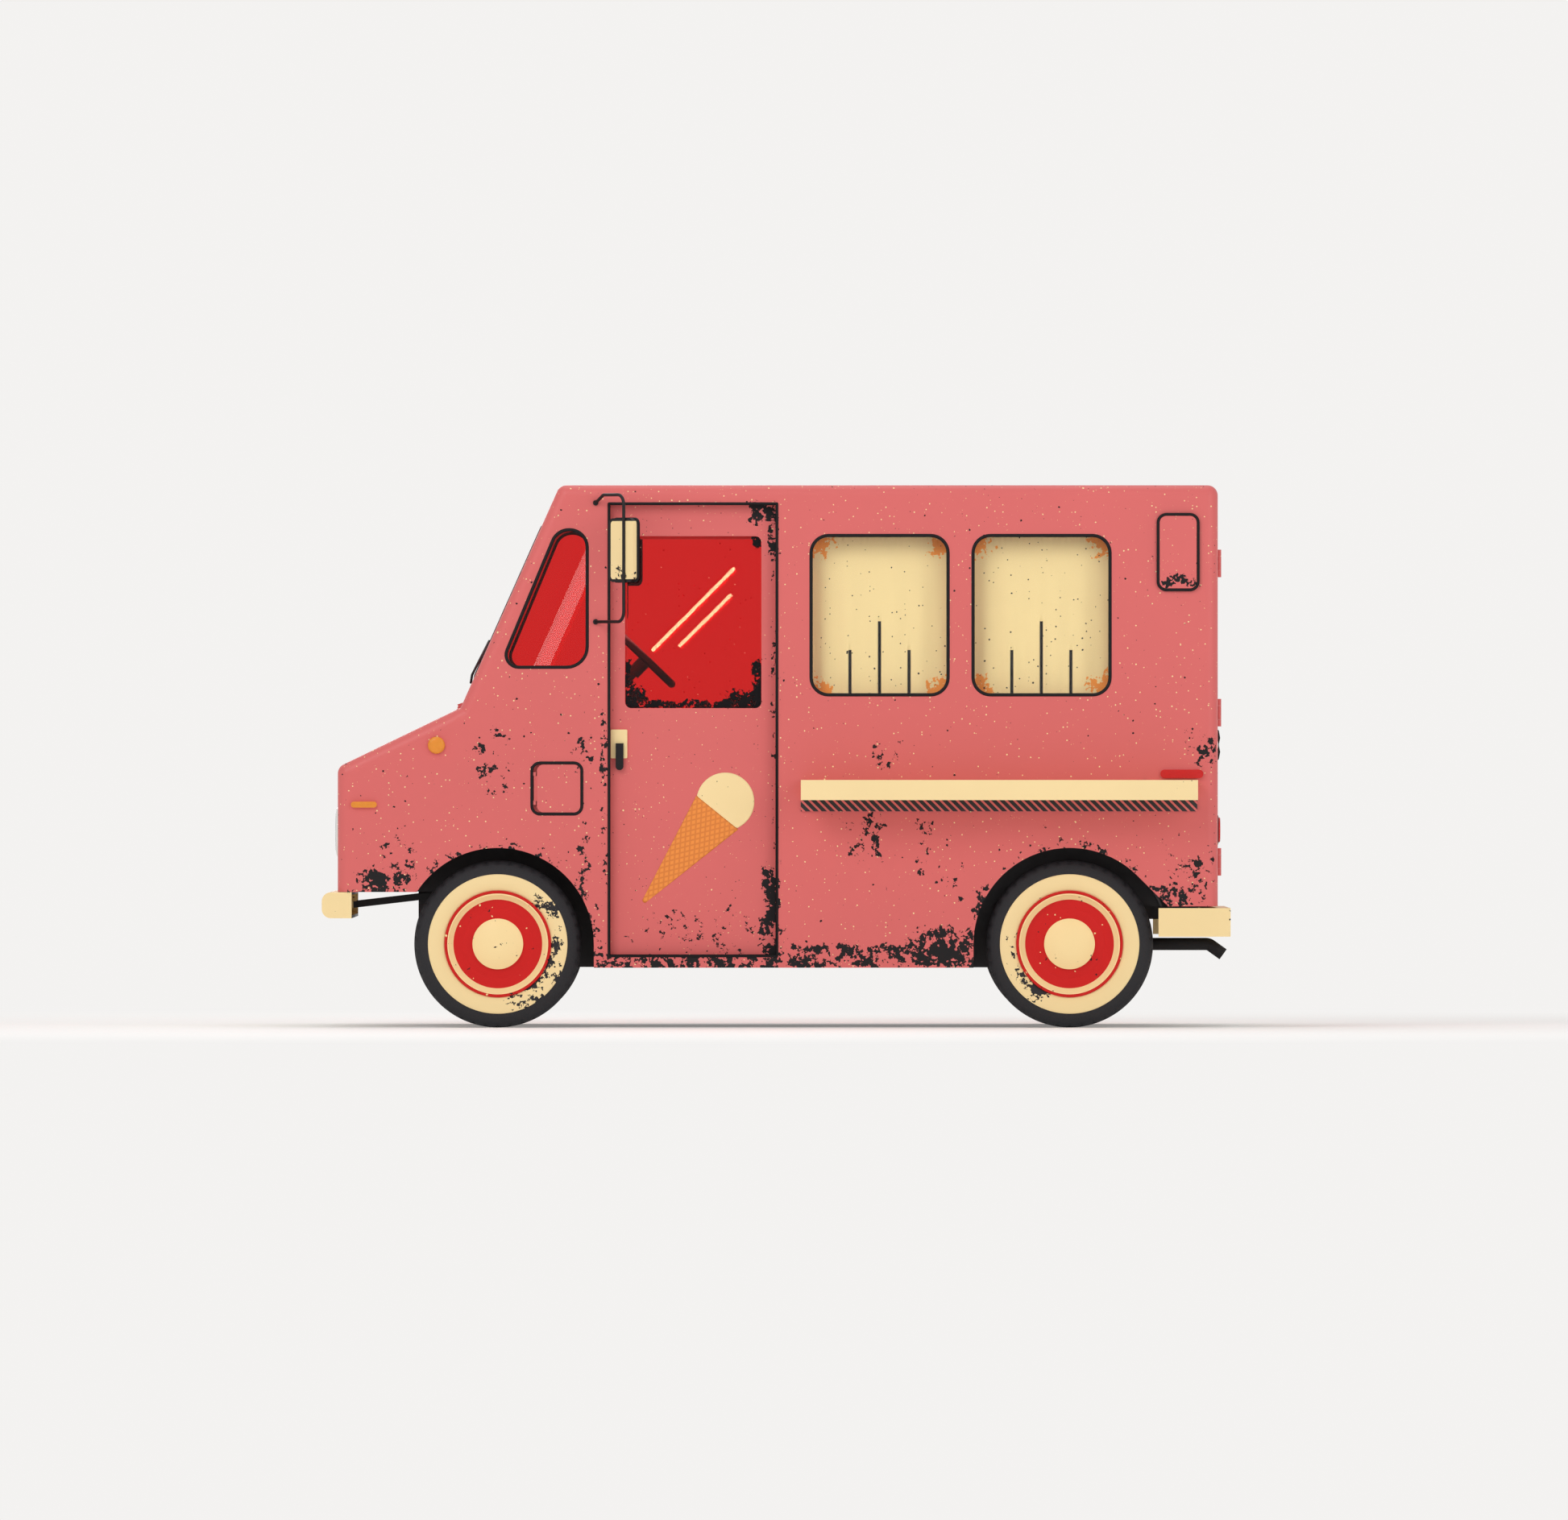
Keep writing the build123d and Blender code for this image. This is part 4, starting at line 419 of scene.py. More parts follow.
def make_flecks():
    """Small separate specks: a share of the cells of a scatter, each with a ragged dot about its seed."""
    group, g, take, give = effect("flecks", ("Scale", "Share"), "Mask")
    cells = g.add("ShaderNodeTexVoronoi", {"Vector": g.place, "Scale": take["Scale"]}).outputs
    pick = g.add("ShaderNodeSeparateColor", {"Color": cells["Color"]}).outputs
    chosen = g.math("GREATER_THAN", pick[0], g.without(take["Share"]))
    size = g.math("MULTIPLY_ADD", g.math("POWER", pick[1], 2.5), 0.2, 0.2)
    ragged = g.times(g.noise(130.0, detail=2.0, rough=0.5), 0.28)
    dot = g.math("LESS_THAN", g.math("ADD", cells["Distance"], ragged), size)
    g.feed(give, g.times(chosen, dot))
    return group


def make_weave():
    """Plain weave height: threads along X and Z, each a wave, the higher one on top."""
    group, g, take, give = effect("weave", ("Threads",), "Height")
    part = g.split()
    warp, weft = (g.math("SINE", g.times(part[way], take["Threads"])) for way in "XZ")
    g.feed(give, g.math("MAXIMUM", warp, weft))
    return group


def make_pleat_shade():
    """Painted shade in a pleat: a narrow dark upright strip at X, from the height Top down."""
    group, g, take, give = effect("pleat_shade_line", ("X", "Top"), "Mask")
    part = g.split()
    below = g.math("LESS_THAN", part["Z"], take["Top"])
    g.feed(give, g.times(g.fade(g.off(part["X"], take["X"]), 0.0072, 0.0062), below))
    return group


CHIPS = make_chips()
PATCH = make_patch()
FLECKS = make_flecks()
WEAVE = make_weave()
PLEAT_SHADE = make_pleat_shade()


def new_finish(name):
    """A fresh material on Object coordinates, its nodes and its Principled shader."""
    finish = bpy.data.materials.new(name)
    finish.use_nodes = True
    g = Graph(finish.node_tree)
    g.place = g.add("ShaderNodeTexCoord").outputs["Object"]
    return finish, g, g.tree.nodes["Principled BSDF"]


def patch_zone(g, patches, *others):
    """The strongest of listed patches and of other values."""
    zones = [g.use(PATCH, "Zone", **dict(zip(PATCH_SIZES, patch))) for patch in patches]
    return g.largest(*zones, *others)


def scatter(g, *sets):
    """Flecks of several sizes together, each set with its scale and its share of the cells."""
    return g.largest(*(g.use(FLECKS, Scale=scale, Share=share) for scale, share in sets))


def axle_distance(g):
    """Distance from the nearest axle, seen along it."""
    x, _, z = g.split()
    rise = g.math("SUBTRACT", z, AXLE_Z)
    return g.math("MINIMUM", *(g.length(g.math("SUBTRACT", x, axle_x), rise) for axle_x in AXLES_X))


# Finishes

def plain_finish(name, colour, rough, metal, grain, bump, spread, shine):
    """A one-colour finish with noise in its tone, gloss and surface."""
    finish, g, shader = new_finish(name)
    cloud = g.noise(grain, detail=5.0, rough=0.6)
    g.fill(shader, {
        "Base Color": g.tone(cloud, colour, 1 - spread, 1 + spread),
        "Roughness": g.gloss(cloud, rough - 0.06, rough + 0.06),
        "Metallic": metal,
        "Specular IOR Level": shine,
        "Normal": g.bump(cloud, bump, 0.002),
    })
    return finish


# Worn patches on the sides: middle x and z, half width, half height, strength
WORN = (
    (1.690, 0.625, 0.130, 0.050, 0.82),
    (1.640, 0.740, 0.080, 0.080, 0.66),
    (0.835, 0.720, 0.022, 0.150, 0.66),
    (0.790, 0.330, 0.030, 0.120, 0.66),
    (0.748, 1.200, 0.016, 0.140, 0.72),
    (0.745, 0.800, 0.014, 0.160, 0.66),
    (0.056, 2.238, 0.056, 0.044, 0.92),
    (0.012, 2.150, 0.022, 0.110, 0.86),
    (0.008, 1.250, 0.014, 0.600, 0.56),
    (0.020, 0.560, 0.034, 0.130, 0.92),
    (0.035, 0.370, 0.044, 0.080, 0.80),
    (0.300, 0.420, 0.250, 0.090, 0.56),
    (0.340, 0.285, 0.360, 0.026, 0.86),
    (-0.330, 0.310, 0.300, 0.050, 0.84),
    (-0.740, 0.340, 0.140, 0.074, 0.92),
    (-0.900, 0.480, 0.026, 0.110, 0.86),
    (-0.750, 0.630, 0.060, 0.070, 0.62),
    (-0.400, 0.830, 0.080, 0.090, 0.58),
    (-0.640, 0.760, 0.030, 0.120, 0.56),
    (-1.640, 0.575, 0.160, 0.036, 0.82),
    (-1.800, 0.680, 0.090, 0.120, 0.58),
    (-1.850, 1.200, 0.060, 0.070, 0.70),
    (-1.745, 1.945, 0.070, 0.026, 0.80),
    (1.250, 1.250, 0.110, 0.050, 0.62),
    (1.220, 1.080, 0.060, 0.060, 0.60),
    (0.860, 1.210, 0.060, 0.080, 0.56),
    (-0.480, 1.180, 0.060, 0.060, 0.52),
)


def paint_finish(name, colour, worn=True):
    """Paint faded in clouds, with black and pale flecks, chipped to black where it is worn.

    It is worn at the patches and at the rims of the arches, and a little everywhere.
    """
    finish, g, shader = new_finish(name)
    zone = 0.2
    if worn:
        arches = g.fade(axle_distance(g), 0.50, 0.43, 0.0, 0.62)
        zone = patch_zone(g, WORN, arches, 0.12)
    bare = g.largest(g.use(CHIPS, Zone=zone), scatter(g, (31.0, 0.07), (62.0, 0.14)))
    tone = g.tone(g.noise(1.6), colour, 0.95, 1.05)
    tone = g.blend(scatter(g, (57.0, 0.2), (90.0, 0.3)), tone, CREAM)
    peel = g.times(g.noise(240.0, detail=2.0, rough=0.5), 0.06)
    g.fill(shader, {
        "Base Color": g.blend(bare, tone, BLACK),
        "Roughness": g.fade(bare, 0.0, 1.0, 0.42, 0.8),
        "Specular IOR Level": 0.3,
        "Normal": g.bump(g.math("SUBTRACT", peel, bare), 0.25, 0.0012),
    })
    return finish


def bumper_finish():
    """Cream bumpers on black irons: what is between the two bumpers' inner edges is black."""
    finish, g, shader = new_finish("bumper_paint")
    x = g.split()["X"]
    irons = g.times(g.math("LESS_THAN", x, FRONT_BUMPER_X), g.math("GREATER_THAN", x, 0.0))
    cloud = g.noise(2.0)
    chips = g.use(CHIPS, Zone=0.22)
    bare = g.largest(irons, chips, scatter(g, (30.0, 0.14)))
    g.fill(shader, {
        "Base Color": g.blend(bare, g.tone(cloud, CREAM, 0.96, 1.03), BLACK),
        "Roughness": g.gloss(cloud, 0.38, 0.5),
        "Specular IOR Level": 0.3,
        "Normal": g.bump(g.without(chips), 0.2, 0.001),
    })
    return finish


SHADOW_HATCH_PITCH = 0.0356


def counter_finish():
    """Cream shelf; below the fascia the ledger shows diagonal black stripes on pink: a painted shadow of the
    shelf, as hatching.
    """
    finish, g, shader = new_finish("counter_paint")
    x, _, z = g.split()
    # Painted shadow under the shelf: black diagonal hatching on pink below the fascia.
    turn = g.math("FRACT", g.times(g.math("SUBTRACT", x, z), 1 / SHADOW_HATCH_PITCH))
    shadow_hatch = g.blend(g.math("GREATER_THAN", turn, 0.36), PINK, BLACK)
    cloud = g.noise(3.0)
    tone = g.blend(g.math("LESS_THAN", z, COUNTER_LOW), g.tone(cloud, CREAM, 0.96, 1.03), shadow_hatch)
    bare = g.largest(g.use(CHIPS, Zone=0.1), scatter(g, (30.0, 0.05)))
    g.fill(shader, {
        "Base Color": g.blend(bare, tone, BLACK),
        "Roughness": g.gloss(cloud, 0.4, 0.52),
        "Normal": g.bump(g.without(bare), 0.2, 0.001),
    })
    return finish


def wheel_finish():
    """Red disc, cream hub cap and cream rim band with a red lip, told apart by radius. Its cream is painted
    lighter than the cream elsewhere, as painted light for the wheel's recess.
    """
    finish, g, shader = new_finish("wheel_paint")
    radius = axle_distance(g)
    cap = g.math("LESS_THAN", radius, HUB_R)
    low, high = RIM_BAND
    band = g.times(g.math("GREATER_THAN", radius, low), g.math("LESS_THAN", radius, high))
    # Painted light: the cap and band are 6 % lighter than the body's cream, to make up for the shade in the
    # wheel's recess.
    tone = g.blend(g.largest(cap, band), RED, shade(CREAM, 1.06))
    tone = g.blend(scatter(g, (34.0, 0.3)), tone, CREAM)
    chips = g.use(CHIPS, Zone=0.26)
    g.fill(shader, {
        "Base Color": g.blend(chips, tone, BLACK),
        "Roughness": g.gloss(g.noise(30.0), 0.34, 0.46),
        "Specular IOR Level": 0.16,
        "Normal": g.bump(g.without(chips), 0.2, 0.001),
    })
    return finish


# Scuffed patches on the white walls, in the columns of the worn ones
SCUFFED = (
    (1.000, 0.460, 0.060, 0.110, 0.74),
    (1.000, 0.280, 0.060, 0.090, 0.84),
    (1.090, 0.140, 0.080, 0.060, 0.78),
    (-1.050, 0.320, 0.040, 0.090, 0.68),
    (-1.110, 0.180, 0.070, 0.060, 0.82),
)


def tyre_finish():
    """Black rubber with a cream band on the outer wall, scuffed with black."""
    finish, g, shader = new_finish("tyre_rubber")
    outer = g.math("GREATER_THAN", g.math("ABSOLUTE", g.split()["Y"]), WHEEL_Y)
    band = g.times(g.math("LESS_THAN", axle_distance(g), WHITE_WALL_R), outer)
    scuff = g.use(CHIPS, Zone=patch_zone(g, SCUFFED, 0.15))
    grain = g.noise(300.0, detail=3.0, rough=0.6)
    g.fill(shader, {
        "Base Color": g.blend(g.times(band, g.without(scuff)), TYRE_BLACK, CREAM),
        "Roughness": g.gloss(grain, 0.68, 0.85),
        "Normal": g.bump(grain, 0.15, 0.001),
    })
    return finish


def lamp_glass_finish():
    """Moulded lens with upright ribs over a painted reflector: painted reflection, pale in the middle and
    darker towards the rim, and a painted bright spot at the bulb.
    """
    finish, g, shader = new_finish("lamp_glass")
    _, y, z = g.split()
    across = g.math("SUBTRACT", g.math("ABSOLUTE", y), HEADLAMP[1])
    reach = g.length(across, g.math("SUBTRACT", z, HEADLAMP[2]))
    rib = g.math("SINE", g.times(y, 420.0))
    # Painted reflection in the reflector, pale at the middle and greyer at the rim; the ribs darken it a
    # little, and the bulb is a painted bright spot.
    reflector_shine = g.blend(g.fade(reach, 0.02, 0.09), srgb(252, 250, 242), srgb(168, 170, 172))
    reflector_shine = g.blend(g.fade(rib, 0.4, 0.9, 0.0, 0.35), reflector_shine, srgb(140, 143, 147))
    bulb_highlight = g.fade(reach, 0.024, 0.02)
    g.fill(shader, {
        "Base Color": g.blend(bulb_highlight, reflector_shine, srgb(255, 250, 232)),
        "Transmission Weight": 0.12,
        "Roughness": g.fade(g.noise(30.0), 0.3, 0.8, 0.04, 0.12),
        "Normal": g.bump(rib, 0.3, 0.002),
    })
    return finish


def side_glass_finish():
    """Cab panes tinted red, serving panes clear, told apart by their place along the van.

    Lamp light passes straight through a pane, tinted by it, so that what is behind isn't left dark.
    """
    finish, g, shader = new_finish("van_glass")
    cab = g.math("GREATER_THAN", g.split()["X"], 0.0)
    tint = g.blend(cab, GLASS_CLEAR, GLASS_RED)
    g.fill(shader, {"Base Color": tint, "Transmission Weight": 1.0, "IOR": 1.25, "Roughness": 0.0})
    through = g.add("ShaderNodeBsdfTransparent", {"Color": tint}).outputs[0]
    g.show(g.add("ShaderNodeLightPath").outputs["Is Shadow Ray"], shader.outputs[0], through)
    return finish


PLEAT_STEP = 0.1285
PLEAT_TOPS = (1.662, 1.787, 1.662)


def pleats(low, high):
    """Place and top of the three pleats in a serving window's curtain."""
    return [((low + high) / 2 + step * PLEAT_STEP, top) for step, top in zip((-1, 0, 1), PLEAT_TOPS)]


def cloth_finish():
    """Cream cotton with a plain weave, painted shade as dark lines down the pleats, stains towards the
    corners and a few dark specks.
    """
    finish, g, shader = new_finish("curtain_cloth")
    x, _, z = g.split()
    beside = g.largest(*(g.fade(g.off(x, edge), 0.17, 0.02) for window in SERVING for edge in window))
    above = g.largest(*(g.fade(g.off(z, edge), 0.17, 0.02) for edge in SERVING_Z))
    stain = g.use(CHIPS, Zone=g.math("MULTIPLY_ADD", g.times(beside, above), 1.25, 0.1))
    # Painted shade: a dark line down the crease of each pleat, from a little below its top.
    lines = [
        g.use(PLEAT_SHADE, X=fold_x, Top=top - 0.02)
        for window in SERVING for fold_x, top in pleats(*window)
    ]
    cloud = g.noise(4.0)
    tone = g.blend(stain, g.tone(cloud, COTTON, 0.92, 0.98), STAIN)
    g.fill(shader, {
        "Base Color": g.blend(g.largest(scatter(g, (52.0, 0.3)), *lines), tone, BLACK),
        "Roughness": g.gloss(cloud, 0.85, 0.95),
        "Sheen Weight": 0.2,
        "Normal": g.bump(g.use(WEAVE, "Height", Threads=3200.0), 0.25, 0.0006),
    })
    return finish


WAFFLE_PITCH = 0.026
WAFFLE_SLANT = 0.733


def waffle_finish():
    """Cone paint: two sets of slanting lines over the orange, drawn on the cone's own map."""
    finish, g, shader = new_finish("cone_waffle")
    cloud = g.noise(80.0)
    g.place = g.add("ShaderNodeUVMap", uv_map="cone").outputs[0]
    u, v, _ = g.split()
    lines = []
    for slant in (WAFFLE_SLANT, -WAFFLE_SLANT):
        lean = g.math("ADD", u, g.times(v, slant))
        turn = g.math("FRACT", g.times(lean, 1 / WAFFLE_PITCH))
        lines.append(g.fade(g.off(turn, 0.5), 0.24, 0.42))
    line = g.largest(*lines)
    g.fill(shader, {
        "Base Color": g.blend(line, WAFFLE, WAFFLE_LINE),
        "Roughness": g.gloss(cloud, 0.4, 0.55),
        "Normal": g.bump(line, 0.3, 0.0006),
    })
    return finish


def handle_finish():
    """Cream plate with a black lever, told apart by how far they stand off the door."""
    finish, g, shader = new_finish("handle_paint")
    lever = g.math("GREATER_THAN", g.math("ABSOLUTE", g.split()["Y"]), DOOR_Y + 0.0105)
    cloud = g.noise(40.0)
    g.fill(shader, {
        "Base Color": g.blend(lever, CREAM, BLACK),
        "Roughness": g.gloss(cloud, 0.35, 0.5),
        "Specular IOR Level": 0.2,
        "Normal": g.bump(cloud, 0.08, 0.001),
    })
    return finish


def mirror_finish():
    """Cream head with a black border on black tube, by the distances from the tube and from the head's edge.

    The border follows the head's round corners: it is where the distance past the box that the corners'
    centres span comes near the corners' radius.
    """
    finish, g, shader = new_finish("mirror_paint")
    x, y, z = g.split()
    along = g.math("SUBTRACT", x, MIRROR_BAR[0])
    out = g.math("SUBTRACT", g.math("ABSOLUTE", y), MIRROR_BAR[1])
    clear = g.math("GREATER_THAN", g.length(along, out), MIRROR_TUBE_R)
    inboard = g.times(g.math("ADD", out, MIRROR_BACK), math.cos(MIRROR_LEAN))
    inboard = g.math("SUBTRACT", g.times(along, math.sin(MIRROR_LEAN)), inboard)
    past = [
        g.math("MAXIMUM", g.math("SUBTRACT", value, half - MIRROR_R), 0.0)
        for value, half in zip((inboard, g.off(z, MIRROR_Z)), MIRROR_HALF)
    ]
    head = g.times(g.math("LESS_THAN", g.length(*past), MIRROR_R - MIRROR_BORDER), clear)
    dirt = g.use(CHIPS, Zone=g.fade(z, 2.07, 1.95, 0.05, 0.72))
    g.fill(shader, {
        "Base Color": g.blend(head, BLACK, g.blend(dirt, CREAM, BLACK)),
        "Roughness": g.gloss(g.noise(60.0), 0.35, 0.5),
        "Specular IOR Level": 0.25,
    })
    return finish


def lens_finish(name, colour):
    """Moulded lamp lens: ribs across it, and light that spreads a little inside."""
    finish, g, shader = new_finish(name)
    rib = g.math("SINE", g.times(g.split()["Z"], 900.0))
    g.fill(shader, {
        "Base Color": g.tone(g.noise(50.0), colour, 0.9, 1.05),
        "Roughness": 0.18,
        "Subsurface Weight": 0.1,
        "Specular IOR Level": 0.22,
        "Normal": g.bump(rib, 0.12, 0.001),
    })
    return finish


# Grimy patches on the door windows, in the columns of the worn ones
GRIMY = (
    (0.360, 1.392, 0.330, 0.028, 0.90),
    (0.630, 1.405, 0.050, 0.070, 1.00),
    (0.650, 1.500, 0.014, 0.090, 0.84),
    (0.125, 1.405, 0.070, 0.050, 1.00),
    (0.072, 1.510, 0.030, 0.080, 0.92),
    (0.082, 2.118, 0.024, 0.022, 0.86),
)


def grime_finish():
    """Road dirt on glass: black where it lies, pale in flecks, clear elsewhere."""
    finish, g, shader = new_finish("window_grime")
    dirt = g.use(CHIPS, Zone=patch_zone(g, GRIMY, 0.0))
    specks = scatter(g, (44.0, 0.16))
    g.fill(shader, {
        "Base Color": g.blend(specks, BLACK, srgb(240, 160, 130)),
        "Alpha": g.largest(dirt, specks),
        "Roughness": g.gloss(g.noise(70.0), 0.8, 0.95),
        "Specular IOR Level": 0.1,
    })
    return finish


# Name, colour, roughness, metal, scale of the grain, bump, spread of tone, shine
PLAIN = {
    "rubber": ("black_rubber", BLACK, 0.7, 0.0, 120.0, 0.12, 0.12, 0.2),
    "chassis": ("chassis_paint", srgb(44, 42, 44), 0.7, 0.0, 25.0, 0.25, 0.12, 0.5),
    "iron": ("cast_iron", srgb(62, 60, 60), 0.75, 0.4, 45.0, 0.5, 0.12, 0.5),
    "steel": ("dull_steel", srgb(92, 88, 86), 0.5, 0.8, 30.0, 0.15, 0.25, 0.5),
    "pipe": ("exhaust_pipe", srgb(36, 34, 35), 0.65, 0.2, 30.0, 0.2, 0.12, 0.25),
    "chrome": ("lamp_chrome", srgb(225, 225, 222), 0.12, 1.0, 40.0, 0.02, 0.03, 0.5),
    "silver": ("mirror_silver", srgb(235, 236, 238), 0.05, 1.0, 10.0, 0.0, 0.02, 0.5),
    "floor": ("floor_rubber", srgb(52, 50, 52), 0.8, 0.0, 140.0, 0.4, 0.12, 0.5),
    "plastic": ("black_plastic", srgb(38, 36, 38), 0.45, 0.0, 160.0, 0.15, 0.12, 0.5),
    "vinyl": ("seat_vinyl", srgb(66, 58, 58), 0.5, 0.0, 220.0, 0.35, 0.12, 0.5),
    "enamel": ("white_enamel", srgb(232, 228, 218), 0.3, 0.0, 20.0, 0.04, 0.03, 0.5),
}
FINISH = {
    "body": paint_finish("body_paint", PINK),
    "cream": paint_finish("cream_paint", CREAM, worn=False),
    "bumper": bumper_finish(),
    "counter": counter_finish(),
    "wheel": wheel_finish(),
    "tyre": tyre_finish(),
    "glass": side_glass_finish(),
    "grime": grime_finish(),
    "lamp": lamp_glass_finish(),
    "amber": lens_finish("amber_lens", ORANGE),
    "red": lens_finish("red_lens", LENS_RED),
    "handle": handle_finish(),
    "mirror": mirror_finish(),
    "cloth": cloth_finish(),
    "waffle": waffle_finish(),
    **{key: plain_finish(*row) for key, row in PLAIN.items()},
}

# The solids that each finish goes on
WEARS = {
    "body": "roof left_load_side right_load_side left_cab_side right_cab_side screen_panel nose_panel"
            " rear_frame hood filler_flap vents left_door right_door rear_door_left rear_door_right",
    "cream": "grille",
    "bumper": "front_bumper rear_bumper",
    "counter": "counter",
    "wheel": "front_left_wheel front_right_wheel rear_left_wheel rear_right_wheel",
    "glass": "fixed_glass left_door_glass right_door_glass rear_glass_left rear_glass_right",
    "lamp": "headlamps",
    "amber": "amber_lamps",
    "red": "red_lamps",
    "handle": "left_handle right_handle",
    "mirror": "mirrors",
    "chassis": "chassis front_axle rear_axle leaf_springs fuel_tank wheel_housings left_knuckle"
               " right_knuckle seat_frame",
    "iron": "engine",
    "pipe": "exhaust",
    "steel": "inner_rails",
    "floor": "floor",
    "plastic": "firewall steering_wheel",
    "enamel": "freezer",
}
for finish, names in WEARS.items():
    for name in names.split():
        nodes[name].data.materials.clear()
        nodes[name].data.materials.append(FINISH[finish])


# Rubber round the openings. Sections are (low, high, inner, outer).

def side_strips():
    """Gaskets in the side windows, and black seals round door, vent cover and filler flap."""
    window = bead(-0.021, 0.005, -0.013, 0.002)
    strips = {
        "quarter_gasket": (QUARTER, window),
        "door_seal": (box_corners(*DOORWAY), bead(-0.014, 0.005, -0.009, 0.004)),
        "front_window_gasket": (box_corners(*SERVING[0], *SERVING_Z, SERVING_R), window),
        "rear_window_gasket": (box_corners(*SERVING[1], *SERVING_Z, SERVING_R), window),
        "vent_seal": (box_corners(*VENT), bead(-0.001, 0.016, -0.006, 0.0075)),
    }
    for name, (corners, section) in strips.items():
        grid = rim_strip(corners, section, on_side, ACROSS)
        rubber(f"left_{name}", grid)
        rubber(f"right_{name}", on_right(grid))
    seal = bead(-0.001, 0.005, -0.004, 0.009)
    rubber("flap_seal", rim_strip(box_corners(*FLAP), seal, on_side, ACROSS))


def screen_strips():
    """Gaskets round the two windscreen panes, on the screen's slope."""
    section = bead(-0.022, 0.004, -0.016, 0.0)
    for name, side in SIDES:
        grid = rim_strip(pane_corners(side, *SCREEN_PANE), section, on_screen, SCREEN_OUT)
        rubber(f"{name}_screen_gasket", grid)


def rear_strips():
    """Gaskets in the rear doors' windows."""
    section = bead(-0.018, 0.004, -0.0125, 0.0)
    for name, side in SIDES:
        grid = rim_strip(pane_corners(side, *REAR_PANE), section, on_rear, (-1, 0, 0))
        rubber(f"rear_{name}_gasket", grid, f"rear_door_{name}")


# Tyres

# The wall from the bead, under the rim's flange, to the shoulder: radius and half width
TYRE_WALL = np.array((
    (0.2225, 0.057), (0.2331, 0.057), (0.2365, 0.0635), (0.246, 0.0705), (0.265, 0.0775), (0.286, 0.0797),
    (0.302, 0.0793), (0.3035, 0.0778), (0.32, 0.0752), (0.336, 0.0692), (0.346, 0.0632), (0.3545, 0.0545),
))
WALL_STEPS = 23
CROWN_R = 0.3635
CROWN_DROP = 0.0055
CROWN_HALF = 0.05
TREAD_FROM = 0.347            # radius from which the tread is cut
GROOVES_Y = (-0.036, -0.018, 0.0, 0.018, 0.036)
GROOVE_HALF = 0.0022
GROOVE_DEPTH = 0.006
ZIGZAGS = 70
NOTCHES = 42
NOTCH_SHARE = 0.28
NOTCH_FROM = 0.041            # notches lie this far out and beyond


def tyre_grid(axle_x, side):
    """Tyre turned about its axle: a section in radius and width, less tread grooves over the crown.

    Five grooves run round it in a zigzag, and notches cut both shoulders, each with sloping sides.
    """
    steps = np.linspace(0, len(TYRE_WALL) - 1, WALL_STEPS)
    wall = np.stack([np.interp(steps, np.arange(len(TYRE_WALL)), column) for column in TYRE_WALL.T], axis=-1)
    crown_y = np.linspace(CROWN_HALF, -CROWN_HALF, 61)
    crown = np.stack([CROWN_R - CROWN_DROP * (crown_y / CROWN_HALF) ** 2, crown_y], axis=-1)
    radius, width = np.vstack([wall, crown, wall[::-1] * (1, -1)]).T[:, None]
    turn = np.linspace(0, 2 * np.pi, 280, endpoint=False)[:, None]
    zigzag = GROOVE_HALF * np.abs((turn * ZIGZAGS / np.pi) % 2 - 1)
    notch = np.clip(1.5 - np.abs((turn * NOTCHES / np.pi) % 2 - 1) / NOTCH_SHARE, 0, 1)
    cut = notch * (np.abs(width) > NOTCH_FROM)
    for groove_y in GROOVES_Y:
        cut = np.maximum(cut, np.clip(1.6 - np.abs(width - groove_y - zigzag) / GROOVE_HALF, 0, 1))
    reach = radius - GROOVE_DEPTH * cut * (radius > TREAD_FROM)
    y = side * (WHEEL_Y + np.broadcast_to(width, reach.shape))
    return np.stack([axle_x + reach * np.cos(turn), y, AXLE_Z + reach * np.sin(turn)], axis=-1)


def add_tyres():
    """A tyre with tread in place of each plain one."""
    for end, axle_x in zip(("front", "rear"), AXLES_X):
        for name, side in SIDES:
            place = f"{end}_{name}"
            grid = tyre_grid(axle_x, side)
            piece = surface(f"{place}_tyre_tread", grid, f"{place}_wheel", "tyre", True, True)
            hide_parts(f"{place}_tyre")


# Curtains

CURTAIN_Y = 0.82
CURTAIN_TOP = 2.168
CURTAIN_LOW = 1.402
CURTAIN_DROP = CURTAIN_TOP - CURTAIN_LOW
CURTAIN_PAST = 0.042          # cloth beside the window
CURTAIN_T = 0.0012
HEADING = 0.08                # gathered strip along the rod
GATHERS = (0.003, 240)        # depth and pace of its gathers
WAVES = (0.004, 61)           # depth and pace of the soft waves
PLEAT_BELLS = ((-0.024, 0.0055), (0.006, 0.03))    # depth and half width
PLEAT_OPENS = 0.05            # a pleat is full this far below its top


def curtain_grid(low, high):
    """Curtain as a sheet over width and drop: three pleats that open downwards, and soft waves between them.

    A pleat is a narrow bell across the width on a wide, low one. It starts at its own height and is full a
    little lower. Small gathers run along the top.
    """
    wide = np.linspace(low - CURTAIN_PAST, high + CURTAIN_PAST, 220)
    x, z = np.meshgrid(wide, np.linspace(CURTAIN_TOP, CURTAIN_LOW, 50))
    deep, pace = WAVES
    depth = deep * np.sin((x - low) * pace) * (CURTAIN_TOP - z) / CURTAIN_DROP
    for fold_x, top in pleats(low, high):
        opening = np.clip((top - z) / PLEAT_OPENS, 0, 1)
        for deep, half in PLEAT_BELLS:
            depth += deep * opening * np.exp(-((x - fold_x) / half) ** 2)
    deep, pace = GATHERS
    gather = deep * np.sin((x - low) * pace) * np.clip((z - CURTAIN_TOP + HEADING) / HEADING, 0, 1)
    return np.stack([x, CURTAIN_Y + depth + gather, z], axis=-1)


